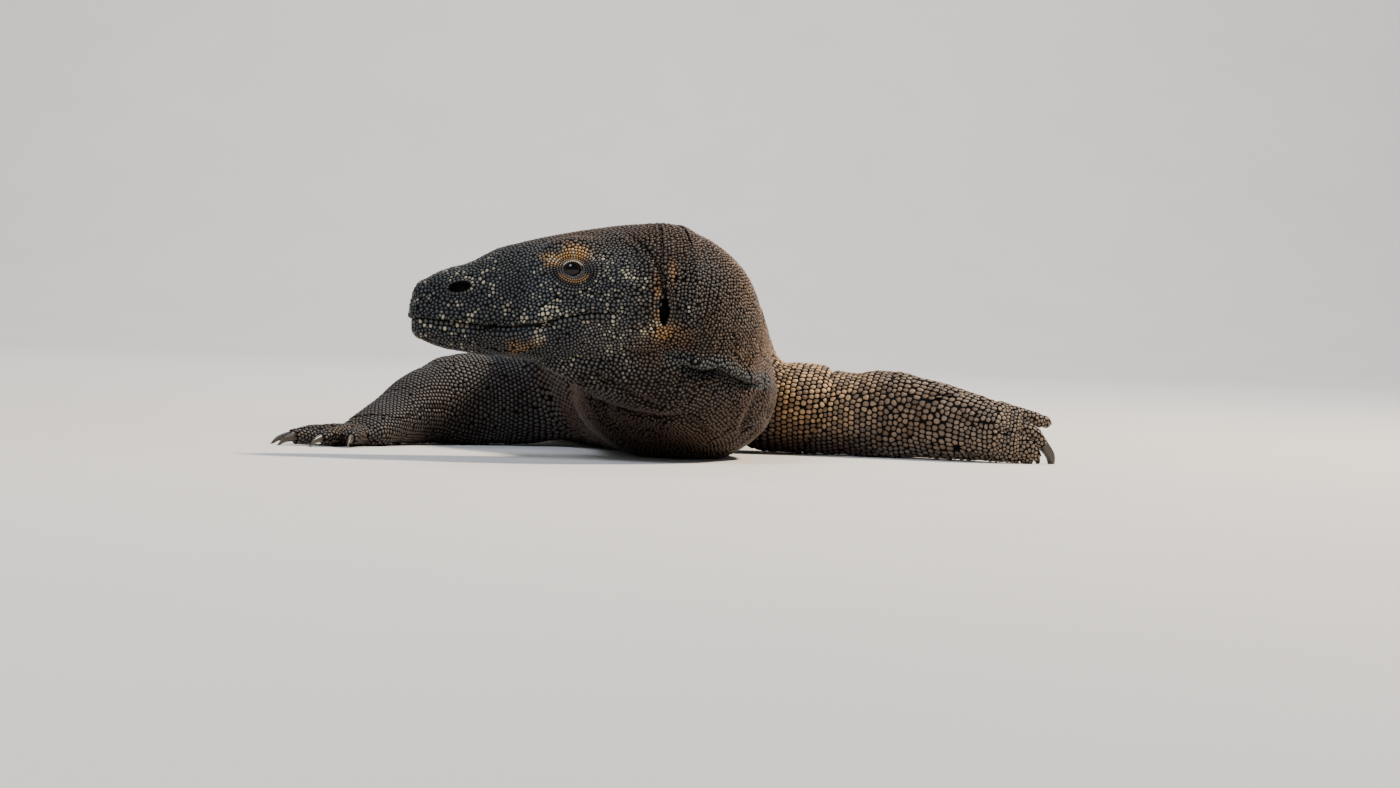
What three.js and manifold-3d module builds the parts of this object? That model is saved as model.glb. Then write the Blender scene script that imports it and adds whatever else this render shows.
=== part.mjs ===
// A life-size, still model of an adult Komodo dragon resting on its belly: head held level and turned to its
// right, forelegs spread to both sides, hind legs folded beside the hips, tail trailing in a lazy curve.
// Millimetres, +Z up. The origin is on the floor under the shoulders; the tail runs towards +Y, the animal's
// left is +X. Every form is a loft: oval sections carried along a smooth spine through a few named stations.
import * as THREE from "three";
import { LoftGeometry } from "three/addons/geometries/LoftGeometry.js";
import { mergeVertices } from "three/addons/utils/BufferGeometryUtils.js";
import Module from "manifold-3d";

const wasm = await Module();
wasm.setup();

// ---------------------------------------------------------------- driving dimensions

const GAP = 0.3; // clearance of every thin cut between two named parts
const SNOUT = [-195, -322, 0]; // snout tip in plan, at floor height
const HEAD_TURN = 8; // degrees the head points from -X towards -Y
const JAW_CORNER = 166; // distance of the mouth corner behind the snout tip
const EYE = { back: 128, side: 37, z: 155.5, radius: 10 };
// The skin on the inside of the neck's bend is pushed forward, and the right ear with it.
const EAR = { back: { left: 201, right: 195 }, side: 48.5, z: 128, deep: 5, wide: 5, high: 14 };

// Stations: at = centre of the section, wide = half width, up and down = height above and depth below the
// centre, roof = how square the upper half is (2 is an ellipse, less is more like a gable).
// The neck, trunk and tail are one spine from inside the skull to the tail tip.
const BODY = [
  { name: "skull base", at: [-24, -306, 134], wide: 42, up: 46, down: 42 },
  { name: "nape", at: [12, -300, 132], wide: 51, up: 65, down: 56, roof: 2 },
  { name: "neck bend", at: [40, -266, 118], wide: 50, up: 66, down: 72, roof: 1.75 },
  { name: "mid neck", at: [46, -208, 102], wide: 53, up: 70, down: 88, roof: 1.7 },
  { name: "low neck", at: [34, -142, 95], wide: 71, up: 70, down: 98, roof: 1.8 },
  { name: "neck base", at: [10, -72, 94], wide: 93, up: 76, down: 98, roof: 1.8 },
  { name: "shoulders", at: [-5, 10, 96], wide: 112, up: 84, down: 101, roof: 1.8 },
  { name: "chest", at: [-26, 120, 98], wide: 126, up: 86, down: 104 },
  { name: "ribs", at: [-46, 250, 98], wide: 138, up: 90, down: 104 },
  { name: "belly", at: [-56, 390, 96], wide: 141, up: 90, down: 102 },
  { name: "flank", at: [-62, 530, 91], wide: 132, up: 84, down: 96 },
  { name: "loin", at: [-58, 650, 83], wide: 107, up: 76, down: 87 },
  { name: "hips", at: [-46, 750, 74], wide: 87, up: 69, down: 77 },
  { name: "vent", at: [-26, 850, 62], wide: 70, up: 61, down: 64 },
  { name: "tail root", at: [4, 970, 52], wide: 57, up: 54, down: 53.5 },
  { name: "tail 2", at: [44, 1110, 43], wide: 44, up: 48, down: 44.2 },
  { name: "tail 3", at: [88, 1260, 35], wide: 34, up: 40, down: 36 },
  { name: "tail 4", at: [122, 1420, 28], wide: 25.5, up: 32, down: 28.8 },
  { name: "tail 5", at: [136, 1590, 21], wide: 18.5, up: 24.5, down: 21.6 },
  { name: "tail 6", at: [122, 1760, 15], wide: 12.8, up: 17.5, down: 15.5 },
  { name: "tail 7", at: [84, 1910, 10], wide: 8.6, up: 11.5, down: 10.4 },
  { name: "tail 8", at: [30, 2040, 6.2], wide: 5.2, up: 7.2, down: 6.5 },
  { name: "tail tip", at: [-20, 2130, 3.6], wide: 2.6, up: 3.6, down: 3.7 },
];

// The head's own stations give back = distance behind the snout tip, and side = offset to the animal's left.
// The upper head is widest along the lips, and both jaws reach past the mouth line, which parts them.
const SKULL = [
  { name: "nose", back: 12, z: 115, wide: 22, up: 31, down: 8 },
  { name: "nostrils", back: 28, z: 115, wide: 30, up: 40, down: 10 },
  { name: "snout dip", back: 48, z: 115, wide: 34, up: 45, down: 12 },
  { name: "snout bump", back: 72, z: 116, wide: 38, up: 56, down: 13 },
  { name: "mid snout", back: 98, z: 118, wide: 43, up: 61, down: 14 },
  { name: "eyes", back: 128, z: 121, wide: 49, up: 65, down: 18 },
  { name: "cheeks", back: 160, z: 124, wide: 54, up: 68, down: 24 },
  { name: "jaw hinge", back: 190, z: 126, wide: 56, up: 70, down: 34 },
  { name: "crown end", back: 216, z: 126, wide: 52, up: 69, down: 42 },
];
const LOWER_JAW = [
  { name: "chin", back: 11, z: 106, wide: 20, up: 9, down: 10.5 },
  { name: "front jaw", back: 30, z: 104, wide: 28, up: 9, down: 16 },
  { name: "mid jaw", back: 62, z: 103, wide: 33, up: 9, down: 19 },
  { name: "rear jaw", back: 98, z: 103, wide: 41, up: 12, down: 22 },
  { name: "jaw angle", back: 134, z: 104, wide: 48, up: 18, down: 28 },
  { name: "jaw root", back: 172, z: 107, wide: 52, up: 22, down: 37 },
  { name: "throat joint", back: 200, z: 108, wide: 50, up: 24, down: 44 },
];
// Height of the closed mouth line above the floor, by distance behind the snout tip.
const MOUTH = [
  [-6, 112],
  [12, 113.5],
  [36, 111],
  [60, 109],
  [78, 108.5],
  [98, 110.5],
  [120, 117],
  [144, 121.5],
  [JAW_CORNER, 122],
];
// The sagging throat, from under the jaw down to the breast.
const THROAT = [
  { name: "under jaw", at: [-74, -310, 92], wide: 30, up: 24, down: 22 },
  { name: "throat front", at: [-38, -303, 84], wide: 44, up: 34, down: 30 },
  { name: "throat bag", at: [0, -282, 76], wide: 56, up: 50, down: 42 },
  { name: "throat back", at: [22, -238, 66], wide: 68, up: 50, down: 52 },
  { name: "breast", at: [24, -180, 58], wide: 84, up: 40, down: 60 },
  { name: "breast end", at: [18, -110, 58], wide: 88, up: 40, down: 60 },
];

const LIMBS = {
  right_arm: {
    upper: [
      { at: [-55, 12, 76], wide: 46, up: 40, down: 52 },
      { at: [-105, 2, 50], wide: 43, up: 32, down: 47 },
      { at: [-150, -10, 44], wide: 41, up: 37, down: 45 },
      { at: [-184, -24, 41], wide: 36, up: 36, down: 42 },
    ],
    lower: [
      { at: [-170, -12, 43], wide: 36, up: 38, down: 44 },
      { at: [-204, -46, 36], wide: 33, up: 32, down: 37 },
      { at: [-229, -82, 24], wide: 28, up: 20, down: 25 },
      { at: [-250, -118, 13], wide: 24, up: 12, down: 14 },
    ],
    // Where the elbow or knee, and the wrist or ankle, are cut: place along the lower loft, radius of the
    // cutting disc and how far it is set towards the inside of the bend.
    bend: { at: 0.3, reach: 62, inset: 0 },
    root: { at: 0.97, reach: 42, inset: 0 },
    hand: {
      wrist: [-250, -116, 10],
      heading: [-0.78, -0.62, 0],
      back: [0, 0, 1],
      side: 1,
      grip: [0, 0, -1],
      palm: { length: 30, wide: 26, thick: 9 },
      digits: [
        { across: -22, splay: -46, length: 26, droop: 6, claw: 20 },
        { across: -12, splay: -21, length: 36, droop: 6, claw: 23 },
        { across: 0, splay: 0, length: 40, droop: 6, claw: 24 },
        { across: 12, splay: 19, length: 37, droop: 6, claw: 23 },
        { across: 22, splay: 44, length: 28, droop: 6, claw: 20 },
      ],
    },
  },
  left_arm: {
    upper: [
      { at: [55, 12, 74], wide: 46, up: 40, down: 52 },
      { at: [104, 2, 50], wide: 44, up: 35, down: 48 },
      { at: [140, -6, 45], wide: 42, up: 38, down: 46 },
      { at: [170, -12, 42], wide: 39, up: 34, down: 43 },
      { at: [222, -27, 39], wide: 36, up: 35, down: 40 },
    ],
    lower: [
      { at: [204, -20, 40], wide: 36, up: 36, down: 41 },
      { at: [245, -40, 37], wide: 33, up: 35, down: 38 },
      { at: [280, -62, 31], wide: 29, up: 31, down: 32 },
      { at: [306, -80, 27], wide: 21, up: 27, down: 27.5 },
    ],
    bend: { at: 0.3, reach: 62, inset: 0 },
    root: { at: 0.97, reach: 42, inset: 0 },
    hand: {
      wrist: [300, -78, 28],
      heading: [0.97, -0.2, -0.1],
      back: [-0.12, -0.96, 0.22],
      side: -1,
      grip: [0, 0.45, -0.9],
      palm: { length: 22, wide: 25, thick: 14 },
      digits: [
        { across: -20, splay: -1, length: 16, droop: 70, claw: 13, grip: [0, 1, 0] },
        { across: -11, splay: 2, length: 28, droop: 70, claw: 10, grip: [0, 0.5, -1] },
        { across: -2, splay: -4, length: 30, droop: 56, claw: 10, grip: [0, 0.5, -1] },
        { across: 9, splay: -4, length: 34, droop: 42, claw: 25, worn: 1 },
        { across: 19, splay: -8, length: 42, droop: 62, claw: 14, grip: [0, 1, 0] },
      ],
    },
  },
  right_leg: {
    upper: [
      { at: [-92, 738, 62], wide: 46, up: 46, down: 56 },
      { at: [-144, 700, 50], wide: 52, up: 36, down: 50 },
      { at: [-184, 656, 38], wide: 45, up: 33, down: 39 },
      { at: [-205, 622, 34], wide: 36, up: 30, down: 35 },
    ],
    lower: [
      { at: [-204, 610, 34], wide: 34, up: 29, down: 35 },
      { at: [-198, 660, 30], wide: 34, up: 27, down: 31 },
      { at: [-192, 712, 22], wide: 27, up: 20, down: 23 },
      { at: [-180, 752, 16], wide: 21, up: 15, down: 17 },
    ],
    bend: { at: 0.12, reach: 190, inset: 0 },
    root: { at: 0.97, reach: 56, inset: 16 },
    hand: {
      wrist: [-182, 756, 14],
      heading: [-0.97, -0.24, 0],
      back: [0, 0, 1],
      side: 1,
      grip: [0, 0, -1],
      palm: { length: 54, wide: 23, thick: 11 },
      digits: [
        { across: -20, splay: -28, length: 28, droop: 10, claw: 20 },
        { across: -11, splay: -14, length: 40, droop: 10, claw: 22 },
        { across: 0, splay: 2, length: 50, droop: 9, claw: 23 },
        { across: 11, splay: 18, length: 52, droop: 9, claw: 23 },
        { across: 20, splay: 52, length: 36, droop: 10, claw: 20 },
      ],
    },
  },
  left_leg: {
    upper: [
      { at: [-2, 738, 62], wide: 46, up: 46, down: 56 },
      { at: [48, 704, 50], wide: 52, up: 36, down: 50 },
      { at: [88, 664, 38], wide: 45, up: 33, down: 39 },
      { at: [110, 632, 34], wide: 36, up: 30, down: 35 },
    ],
    lower: [
      { at: [112, 620, 34], wide: 34, up: 29, down: 35 },
      { at: [106, 672, 30], wide: 34, up: 27, down: 31 },
      { at: [100, 724, 22], wide: 27, up: 20, down: 23 },
      { at: [88, 764, 16], wide: 21, up: 15, down: 17 },
    ],
    bend: { at: 0.12, reach: 190, inset: 0 },
    root: { at: 0.97, reach: 56, inset: 16 },
    hand: {
      wrist: [91, 768, 14],
      heading: [0.95, -0.31, 0],
      back: [0, 0, 1],
      side: -1,
      grip: [0, 0, -1],
      palm: { length: 54, wide: 23, thick: 11 },
      digits: [
        { across: -20, splay: -28, length: 28, droop: 10, claw: 20 },
        { across: -11, splay: -14, length: 40, droop: 10, claw: 22 },
        { across: 0, splay: 2, length: 50, droop: 9, claw: 23 },
        { across: 11, splay: 18, length: 52, droop: 9, claw: 23 },
        { across: 20, splay: 52, length: 36, droop: 10, claw: 20 },
      ],
    },
  },
};
const DIGIT_RADIUS = 7.4; // at its root; the tip is a little thinner
const CLAW_HEIGHT = 4.6; // half height at its root
const CLAW_THIN = 0.72; // its width as a share of its height
const CLAW_SHARP = [1, 0.74, 0.15]; // half height at root, middle and tip, as shares of the root's
const CLAW_WORN = [1.22, 1.08, 0.42]; // the same of a thick claw worn blunt

// ---------------------------------------------------------------- lofts and solids

const UP = new THREE.Vector3(0, 0, 1);
const radians = THREE.MathUtils.degToRad;

// Smooth curves through the stations: their centres, their half sizes and how square their upper half is.
function spine(stations, square = 2) {
  const centres = stations.map((s) => new THREE.Vector3(...s.at));
  const sizes = stations.map((s) => new THREE.Vector3(s.wide, s.up, s.down));
  const roofs = stations.map((s) => new THREE.Vector3(s.roof ?? square, 0, 0));
  const smooth = (points) => new THREE.CatmullRomCurve3(points, false, "catmullrom", 0.5);
  return { centre: smooth(centres), size: smooth(sizes), roof: smooth(roofs) };
}

// Side and up directions of the section at t; `above` is the direction that counts as up.
function section(line, t, above) {
  const along = line.centre.getTangent(t).normalize();
  const side = new THREE.Vector3().crossVectors(along, above).normalize();
  const up = new THREE.Vector3().crossVectors(side, along).normalize();
  return { along, side, up };
}

// Oval sections with `around` points, at `steps` even places along the spine. `dome` gives the rings that
// round its ends, as angles from the end's axis, and an empty list leaves them flat.
function loft(stations, options) {
  const { around, steps, startDome = 0, endDome = 0, dome = [14, 48], grow = 0, square = 2, above = UP } = options;
  const line = spine(stations, square);
  const rings = [];
  const ring = (t, offset, scale) => {
    const { along, side, up } = section(line, t, above);
    const size = line.size.getPoint(t);
    const roof = line.roof.getPoint(t).x;
    const centre = line.centre.getPoint(t).addScaledVector(along, offset);
    const points = [];
    for (let i = 0; i < around; i++) {
      const angle = (-2 * Math.PI * i) / around;
      const c = Math.cos(angle);
      const s = Math.sin(angle);
      const power = 2 / (s > 0 ? roof : square);
      const x = (size.x + grow) * scale * Math.sign(c) * Math.abs(c) ** power;
      const high = (s > 0 ? size.y : size.z) + grow;
      const y = high * scale * Math.sign(s) * Math.abs(s) ** power;
      points.push(centre.clone().addScaledVector(side, x).addScaledVector(up, y));
    }
    rings.push(points);
  };
  const angles = dome.map(radians);
  for (const a of angles) ring(0, -(startDome + grow) * Math.cos(a), Math.sin(a));
  for (let i = 0; i <= steps; i++) ring(i / steps, 0, 1);
  for (const a of angles.reverse()) ring(1, (endDome + grow) * Math.cos(a), Math.sin(a));
  return solid(new LoftGeometry(rings, { capStart: true, capEnd: true }));
}

// A closed geometry as a solid that can be joined and cut.
function solid(geometry) {
  const bare = geometry.index ? geometry.toNonIndexed() : geometry.clone();
  for (const name of Object.keys(bare.attributes)) {
    if (name !== "position") bare.deleteAttribute(name);
  }
  const merged = mergeVertices(bare, 1e-4);
  return new wasm.Manifold(
    new wasm.Mesh({
      numProp: 3,
      vertProperties: merged.attributes.position.array,
      triVerts: new Uint32Array(merged.index.array),
    }),
  );
}

function geometryOf(manifold) {
  const mesh = manifold.getMesh();
  const positions = new Float32Array(mesh.numVert * 3);
  for (let i = 0; i < mesh.numVert; i++) {
    positions.set(mesh.vertProperties.subarray(i * mesh.numProp, i * mesh.numProp + 3), i * 3);
  }
  const geometry = new THREE.BufferGeometry();
  geometry.setAttribute("position", new THREE.BufferAttribute(positions, 3));
  geometry.setIndex(new THREE.BufferAttribute(new Uint32Array(mesh.triVerts), 1));
  return geometry;
}

const join = (solids) => solids.reduce((all, one) => all.add(one));

function ellipsoid(centre, radii, { turn = 0, around = 10, rows = 8 } = {}) {
  const ball = new THREE.SphereGeometry(1, around, rows);
  ball.rotateX(Math.PI / 2);
  ball.scale(...radii).rotateZ(turn).translate(...centre);
  return solid(ball);
}

// A thin disc across a limb; what it takes away is the gap between two parts.
function slit(centre, normal, radius) {
  const disc = new THREE.CylinderGeometry(radius, radius, GAP, 20);
  const turn = new THREE.Quaternion().setFromUnitVectors(
    new THREE.Vector3(0, 1, 0),
    normal.clone().normalize(),
  );
  disc.applyQuaternion(turn).translate(centre.x, centre.y, centre.z);
  return solid(disc);
}

// The slit across a loft at t, square to its spine.
function slitAcross(stations, t, radius) {
  const line = spine(stations);
  return slit(line.centre.getPoint(t), line.centre.getTangent(t), radius);
}

// The slit where a limb bends: in the plane that halves the angle between the lower loft's own direction at
// `at` and the direction of the part that meets it there.
function slitBetween(other, lowerLine, { at, reach, inset }) {
  const here = lowerLine.getTangent(at);
  const normal = here.clone().add(other).normalize();
  const inside = other.clone().sub(here).projectOnPlane(normal);
  if (at < 0.5) inside.negate();
  const centre = lowerLine.getPoint(at).addScaledVector(inside.normalize(), inset);
  return slit(centre, normal, reach);
}

const box = (low, high) => {
  const size = high.map((v, i) => v - low[i]);
  const block = new THREE.BoxGeometry(...size);
  block.translate(...low.map((v, i) => v + size[i] / 2));
  return solid(block);
};
const UNDER_FLOOR = box([-900, -900, -200], [900, 2600, 0]);

// ---------------------------------------------------------------- head

const turn = radians(HEAD_TURN);
const BACKWARD = new THREE.Vector3(Math.cos(turn), Math.sin(turn), 0);
const LEFTWARD = new THREE.Vector3(Math.sin(turn), -Math.cos(turn), 0);

// A point given by its distance behind the snout tip, offset to the left and height.
function headPoint(back, side, z) {
  return new THREE.Vector3(...SNOUT)
    .addScaledVector(BACKWARD, back)
    .addScaledVector(LEFTWARD, side)
    .setZ(z);
}
const headStations = (list) => list.map((s) => ({ ...s, at: headPoint(s.back, 0, s.z).toArray() }));

function buildHead() {
  const skull = loft(headStations(SKULL), {
    around: 14, steps: 9, startDome: 13, endDome: 22, square: 2.35,
  });
  const jaw = loft(headStations(LOWER_JAW), {
    around: 12, steps: 6, startDome: 10, endDome: 20, dome: [30], square: 2.3,
  });
  const lumps = [];
  for (const side of [-1, 1]) {
    const cheek = headPoint(176, 38 * side, 130).toArray();
    lumps.push(ellipsoid(cheek, [34, 21, 33], { turn }));
    const brow = headPoint(130, 31 * side, 172).toArray();
    lumps.push(ellipsoid(brow, [26, 13, 11], { turn, around: 8, rows: 5 }));
  }
  let head = join([skull, jaw, ...lumps]);
  for (const side of [-1, 1]) {
    const nostril = headPoint(38, 30 * side, 139).toArray();
    const slant = turn - side * radians(20);
    head = head.subtract(ellipsoid(nostril, [8, 6, 3.4], { turn: slant, around: 8, rows: 4 }));
  }
  return head;
}

// Everything under the mouth line, back to the jaw corner: a band this thin parts the lower jaw.
function mouthSlit() {
  const outline = new THREE.Shape();
  const floorDepth = 20;
  MOUTH.forEach(([back, z], i) => (i ? outline.lineTo(back, z) : outline.moveTo(back, z)));
  outline.lineTo(JAW_CORNER, floorDepth);
  outline.lineTo(JAW_CORNER - GAP, floorDepth);
  outline.lineTo(JAW_CORNER - GAP, MOUTH.at(-1)[1] - GAP);
  [...MOUTH].reverse().slice(1).forEach(([back, z]) => outline.lineTo(back, z - GAP));
  const halfWidth = 90;
  const band = new THREE.ExtrudeGeometry(outline, { depth: 2 * halfWidth, bevelEnabled: false, steps: 1 });
  band.rotateX(Math.PI / 2).translate(0, halfWidth, 0).rotateZ(turn).translate(...SNOUT);
  return solid(band);
}

function eyeball(side, grow) {
  const { back, z, radius } = EYE;
  const centre = headPoint(back, EYE.side * side, z).toArray();
  const r = radius + grow;
  return ellipsoid(centre, [r, r, r], { turn, around: 12, rows: 6 });
}

// The eardrum lies a little below the skin, so its hollow is deeper than the drum by `pit`.
function eardrum(side, grow, pit = 0) {
  const back = side > 0 ? EAR.back.left : EAR.back.right;
  const centre = headPoint(back, EAR.side * side, EAR.z).toArray();
  const radii = [EAR.wide + grow, EAR.deep + grow + pit, EAR.high + grow];
  return ellipsoid(centre, radii, { turn, around: 8, rows: 5 });
}

// ---------------------------------------------------------------- limbs

// Curved spines of one digit and its claw. A digit leaves the palm at its splay from the hand's heading, in
// the plane of the palm, and bends by its droop towards the hand's grip.
function digitSpine(hand, digit) {
  const heading = new THREE.Vector3(...hand.heading).normalize();
  const across = heading.clone().cross(new THREE.Vector3(...hand.back)).normalize();
  across.multiplyScalar(hand.side);
  const splay = radians(digit.splay);
  const out = heading.clone().multiplyScalar(Math.cos(splay)).addScaledVector(across, Math.sin(splay));
  const grip = new THREE.Vector3(...(digit.grip ?? hand.grip)).projectOnPlane(out).normalize();
  const level = out.clone().cross(grip);
  const bent = (angle) => out.clone().multiplyScalar(Math.cos(angle)).addScaledVector(grip, Math.sin(angle));
  const droop = radians(digit.droop);
  const inset = hand.palm.length * (1 - 0.35 * Math.abs(digit.across / hand.palm.wide));
  const root = new THREE.Vector3(...hand.wrist)
    .addScaledVector(heading, inset)
    .addScaledVector(across, digit.across);
  const start = root.clone().addScaledVector(out, -10);
  const knuckle = root.clone().addScaledVector(bent(droop * 0.2), digit.length * 0.5);
  const tip = knuckle.clone().addScaledVector(bent(droop), digit.length * 0.5);
  const clawRoot = tip.clone().addScaledVector(bent(droop), 2 * GAP);
  const clawMid = clawRoot.clone().addScaledVector(bent(droop + 0.15), digit.claw * 0.5);
  const clawTip = clawMid.clone().addScaledVector(bent(droop + 0.65), digit.claw * 0.5);
  return { toe: [start, knuckle, tip], claw: [clawRoot, clawMid, clawTip], level };
}

function buildHand(hand) {
  const heading = new THREE.Vector3(...hand.heading).normalize();
  const above = new THREE.Vector3(...hand.back);
  const { length, wide, thick } = hand.palm;
  const wrist = new THREE.Vector3(...hand.wrist);
  const palmStations = [-12, length * 0.4, length].map((d, i) => ({
    at: wrist.clone().addScaledVector(heading, d).toArray(),
    wide: [wide * 0.78, wide * 0.95, wide][i],
    up: thick,
    down: thick + 3,
  }));
  const palm = loft(palmStations, {
    around: 8, steps: 2, startDome: 8, endDome: 8, dome: [40], above,
  });
  const toes = hand.digits.map((digit) => {
    const { toe, level } = digitSpine(hand, digit);
    const sizes = [DIGIT_RADIUS, DIGIT_RADIUS * 0.98, DIGIT_RADIUS * 0.8];
    const stations = toe.map((p, i) => ({
      at: p.toArray(), wide: sizes[i], up: sizes[i], down: sizes[i],
    }));
    return loft(stations, { around: 6, steps: 2, dome: [], above: level });
  });
  return join([palm, ...toes]);
}

// The claw's flat root faces the flat end of its digit across the gap.
function buildClaw(hand, digit, grow = 0) {
  const { claw, level } = digitSpine(hand, digit);
  const worn = digit.worn ?? 0;
  const shares = CLAW_SHARP.map((sharp, i) => sharp + worn * (CLAW_WORN[i] - sharp));
  const sizes = shares.map((share) => CLAW_HEIGHT * share);
  const stations = claw.map((p, i) => ({
    at: p.toArray(), wide: sizes[i], up: sizes[i] * CLAW_THIN, down: sizes[i] * CLAW_THIN,
  }));
  return loft(stations, { around: 5, steps: 3, dome: [], above: level, grow });
}

// ---------------------------------------------------------------- the named parts

const COLOURS = {
  hide: new THREE.MeshStandardMaterial({ color: "#4b433b", roughness: 0.8, metalness: 0 }),
  tail: new THREE.MeshStandardMaterial({ color: "#453e37", roughness: 0.82, metalness: 0 }),
  jaw: new THREE.MeshStandardMaterial({ color: "#4a4035", roughness: 0.75, metalness: 0 }),
  eye: new THREE.MeshStandardMaterial({ color: "#15100c", roughness: 0.08, metalness: 0 }),
  drum: new THREE.MeshStandardMaterial({ color: "#1d1712", roughness: 0.6, metalness: 0 }),
  horn: new THREE.MeshStandardMaterial({ color: "#2b2620", roughness: 0.4, metalness: 0 }),
};

const dragon = new THREE.Group();

function addPart(name, manifold, material) {
  const mesh = new THREE.Mesh(geometryOf(manifold), material);
  mesh.name = name;
  dragon.add(mesh);
}

// Parts one cut solid into its pieces and names each by the seed point that it holds.
function addPieces(manifold, seeds, material) {
  const pieces = manifold.decompose();
  const speck = 400; // cubic millimetres; a smaller chip left by the cuts is dropped
  const seedRadius = 1.5;
  const taken = new Set();
  for (const piece of pieces) {
    const held = Object.entries(seeds).find(([name, seed]) => {
      const ball = ellipsoid(seed.toArray(), [seedRadius, seedRadius, seedRadius], { around: 6, rows: 4 });
      return !taken.has(name) && piece.intersect(ball).volume() > 1;
    });
    if (held) {
      taken.add(held[0]);
      addPart(held[0], piece, material[held[0]] ?? material.other);
    } else if (piece.volume() > speck) {
      const { min, max } = piece.boundingBox();
      throw new Error(`a piece of ${piece.volume()} mm3 from ${min} to ${max} holds no seed`);
    }
  }
  const missing = Object.keys(seeds).filter((name) => !taken.has(name));
  if (missing.length) throw new Error(`no piece holds ${missing}`);
}

const bodyLoft = (grow) =>
  loft(BODY, { around: 14, steps: 30, startDome: 14, endDome: 8, grow, square: 2.15 });

function addTrunkAndHead() {
  const throat = loft(THROAT, { around: 14, steps: 5, startDome: 16, endDome: 30, dome: [30], square: 2.1 });
  let whole = join([bodyLoft(0), throat, buildHead()]).subtract(UNDER_FLOOR);
  for (const side of [-1, 1]) {
    whole = whole.subtract(eyeball(side, GAP)).subtract(eardrum(side, GAP, EAR.deep));
  }
  whole = whole.subtract(mouthSlit());
  const stationCount = BODY.length - 1;
  const cuts = [
    { station: 1.55, reach: 120 },
    { station: 3.4, reach: 130 },
    { station: 5.6, reach: 180 },
    { station: 8.5, reach: 220 },
    { station: 11.3, reach: 200 },
    { station: 13.3, reach: 120 },
    { station: 14.9, reach: 80 },
    { station: 16.5, reach: 60 },
    { station: 18.2, reach: 45 },
    { station: 19.9, reach: 30 },
  ];
  for (const { station, reach } of cuts) {
    whole = whole.subtract(slitAcross(BODY, station / stationCount, reach));
  }
  const names = [
    "head", "neck", "neck_base", "chest", "belly", "pelvis",
    "tail_1", "tail_2", "tail_3", "tail_4", "tail_5",
  ];
  const line = spine(BODY);
  const seeds = { lower_jaw: headPoint(90, 0, 95) };
  names.forEach((name, i) => {
    const from = i ? cuts[i - 1].station : 0;
    const to = i < cuts.length ? cuts[i].station : stationCount;
    seeds[name] = line.centre.getPoint((from + to) / 2 / stationCount);
  });
  addPieces(whole, seeds, {
    lower_jaw: COLOURS.jaw,
    tail_1: COLOURS.tail, tail_2: COLOURS.tail, tail_3: COLOURS.tail,
    tail_4: COLOURS.tail, tail_5: COLOURS.tail,
    other: COLOURS.hide,
  });
  [["left", 1], ["right", -1]].forEach(([name, side]) => {
    addPart(`eye_${name}`, eyeball(side, 0), COLOURS.eye);
    addPart(`ear_${name}`, eardrum(side, 0), COLOURS.drum);
  });
}

// Parts in the order upper length, lower length, hand or foot.
function addLimb(limb, partNames) {
  const { upper, lower, bend, root, hand } = limb;
  const top = loft(upper, { around: 10, steps: 4, startDome: 20, endDome: 24, dome: [30] });
  const shank = loft(lower, { around: 10, steps: 3, startDome: 24, endDome: 12, dome: [30] });
  let flesh = join([top, shank, buildHand(hand)]).subtract(bodyLoft(GAP)).subtract(UNDER_FLOOR);
  const claws = hand.digits.map((digit) => buildClaw(hand, digit).subtract(UNDER_FLOOR));
  hand.digits.forEach((digit) => {
    flesh = flesh.subtract(buildClaw(hand, digit, GAP));
  });
  const upperLine = spine(upper).centre;
  const lowerLine = spine(lower).centre;
  const heading = new THREE.Vector3(...hand.heading).normalize();
  flesh = flesh.subtract(slitBetween(upperLine.getTangent(1), lowerLine, bend));
  flesh = flesh.subtract(slitBetween(heading, lowerLine, root));
  const seeds = {
    [partNames[0]]: upperLine.getPoint(0.72),
    [partNames[1]]: lowerLine.getPoint(0.7),
    [partNames[2]]: new THREE.Vector3(...hand.wrist).addScaledVector(heading, hand.palm.length * 0.8),
  };
  addPieces(flesh, seeds, { other: COLOURS.hide });
  claws.forEach((claw, i) => {
    addPart(`${partNames[2]}_claw_${i + 1}`, claw, COLOURS.horn);
  });
}

addTrunkAndHead();
for (const [limbName, limb] of Object.entries(LIMBS)) {
  const [side, kind] = limbName.split("_");
  const names = kind === "arm" ? ["upper_arm", "forearm", "hand"] : ["thigh", "shin", "foot"];
  addLimb(limb, names.map((name) => `${side}_${name}`));
}

export default dragon;
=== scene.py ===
"""A life-size Komodo dragon resting on its belly, dressed over the fixed model.

The flesh is one implicit surface: oval-sectioned forms along curved spines, softly joined, with the
eyelids, nostrils, lips, ears and throat folds pressed into it. One skin mesh is settled on that surface,
and solid scales are grown over it, each filling its own share of the skin between its neighbours.
Lengths in the tables are millimetres; everything is turned to metres when a form is made.
"""

import math

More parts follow.
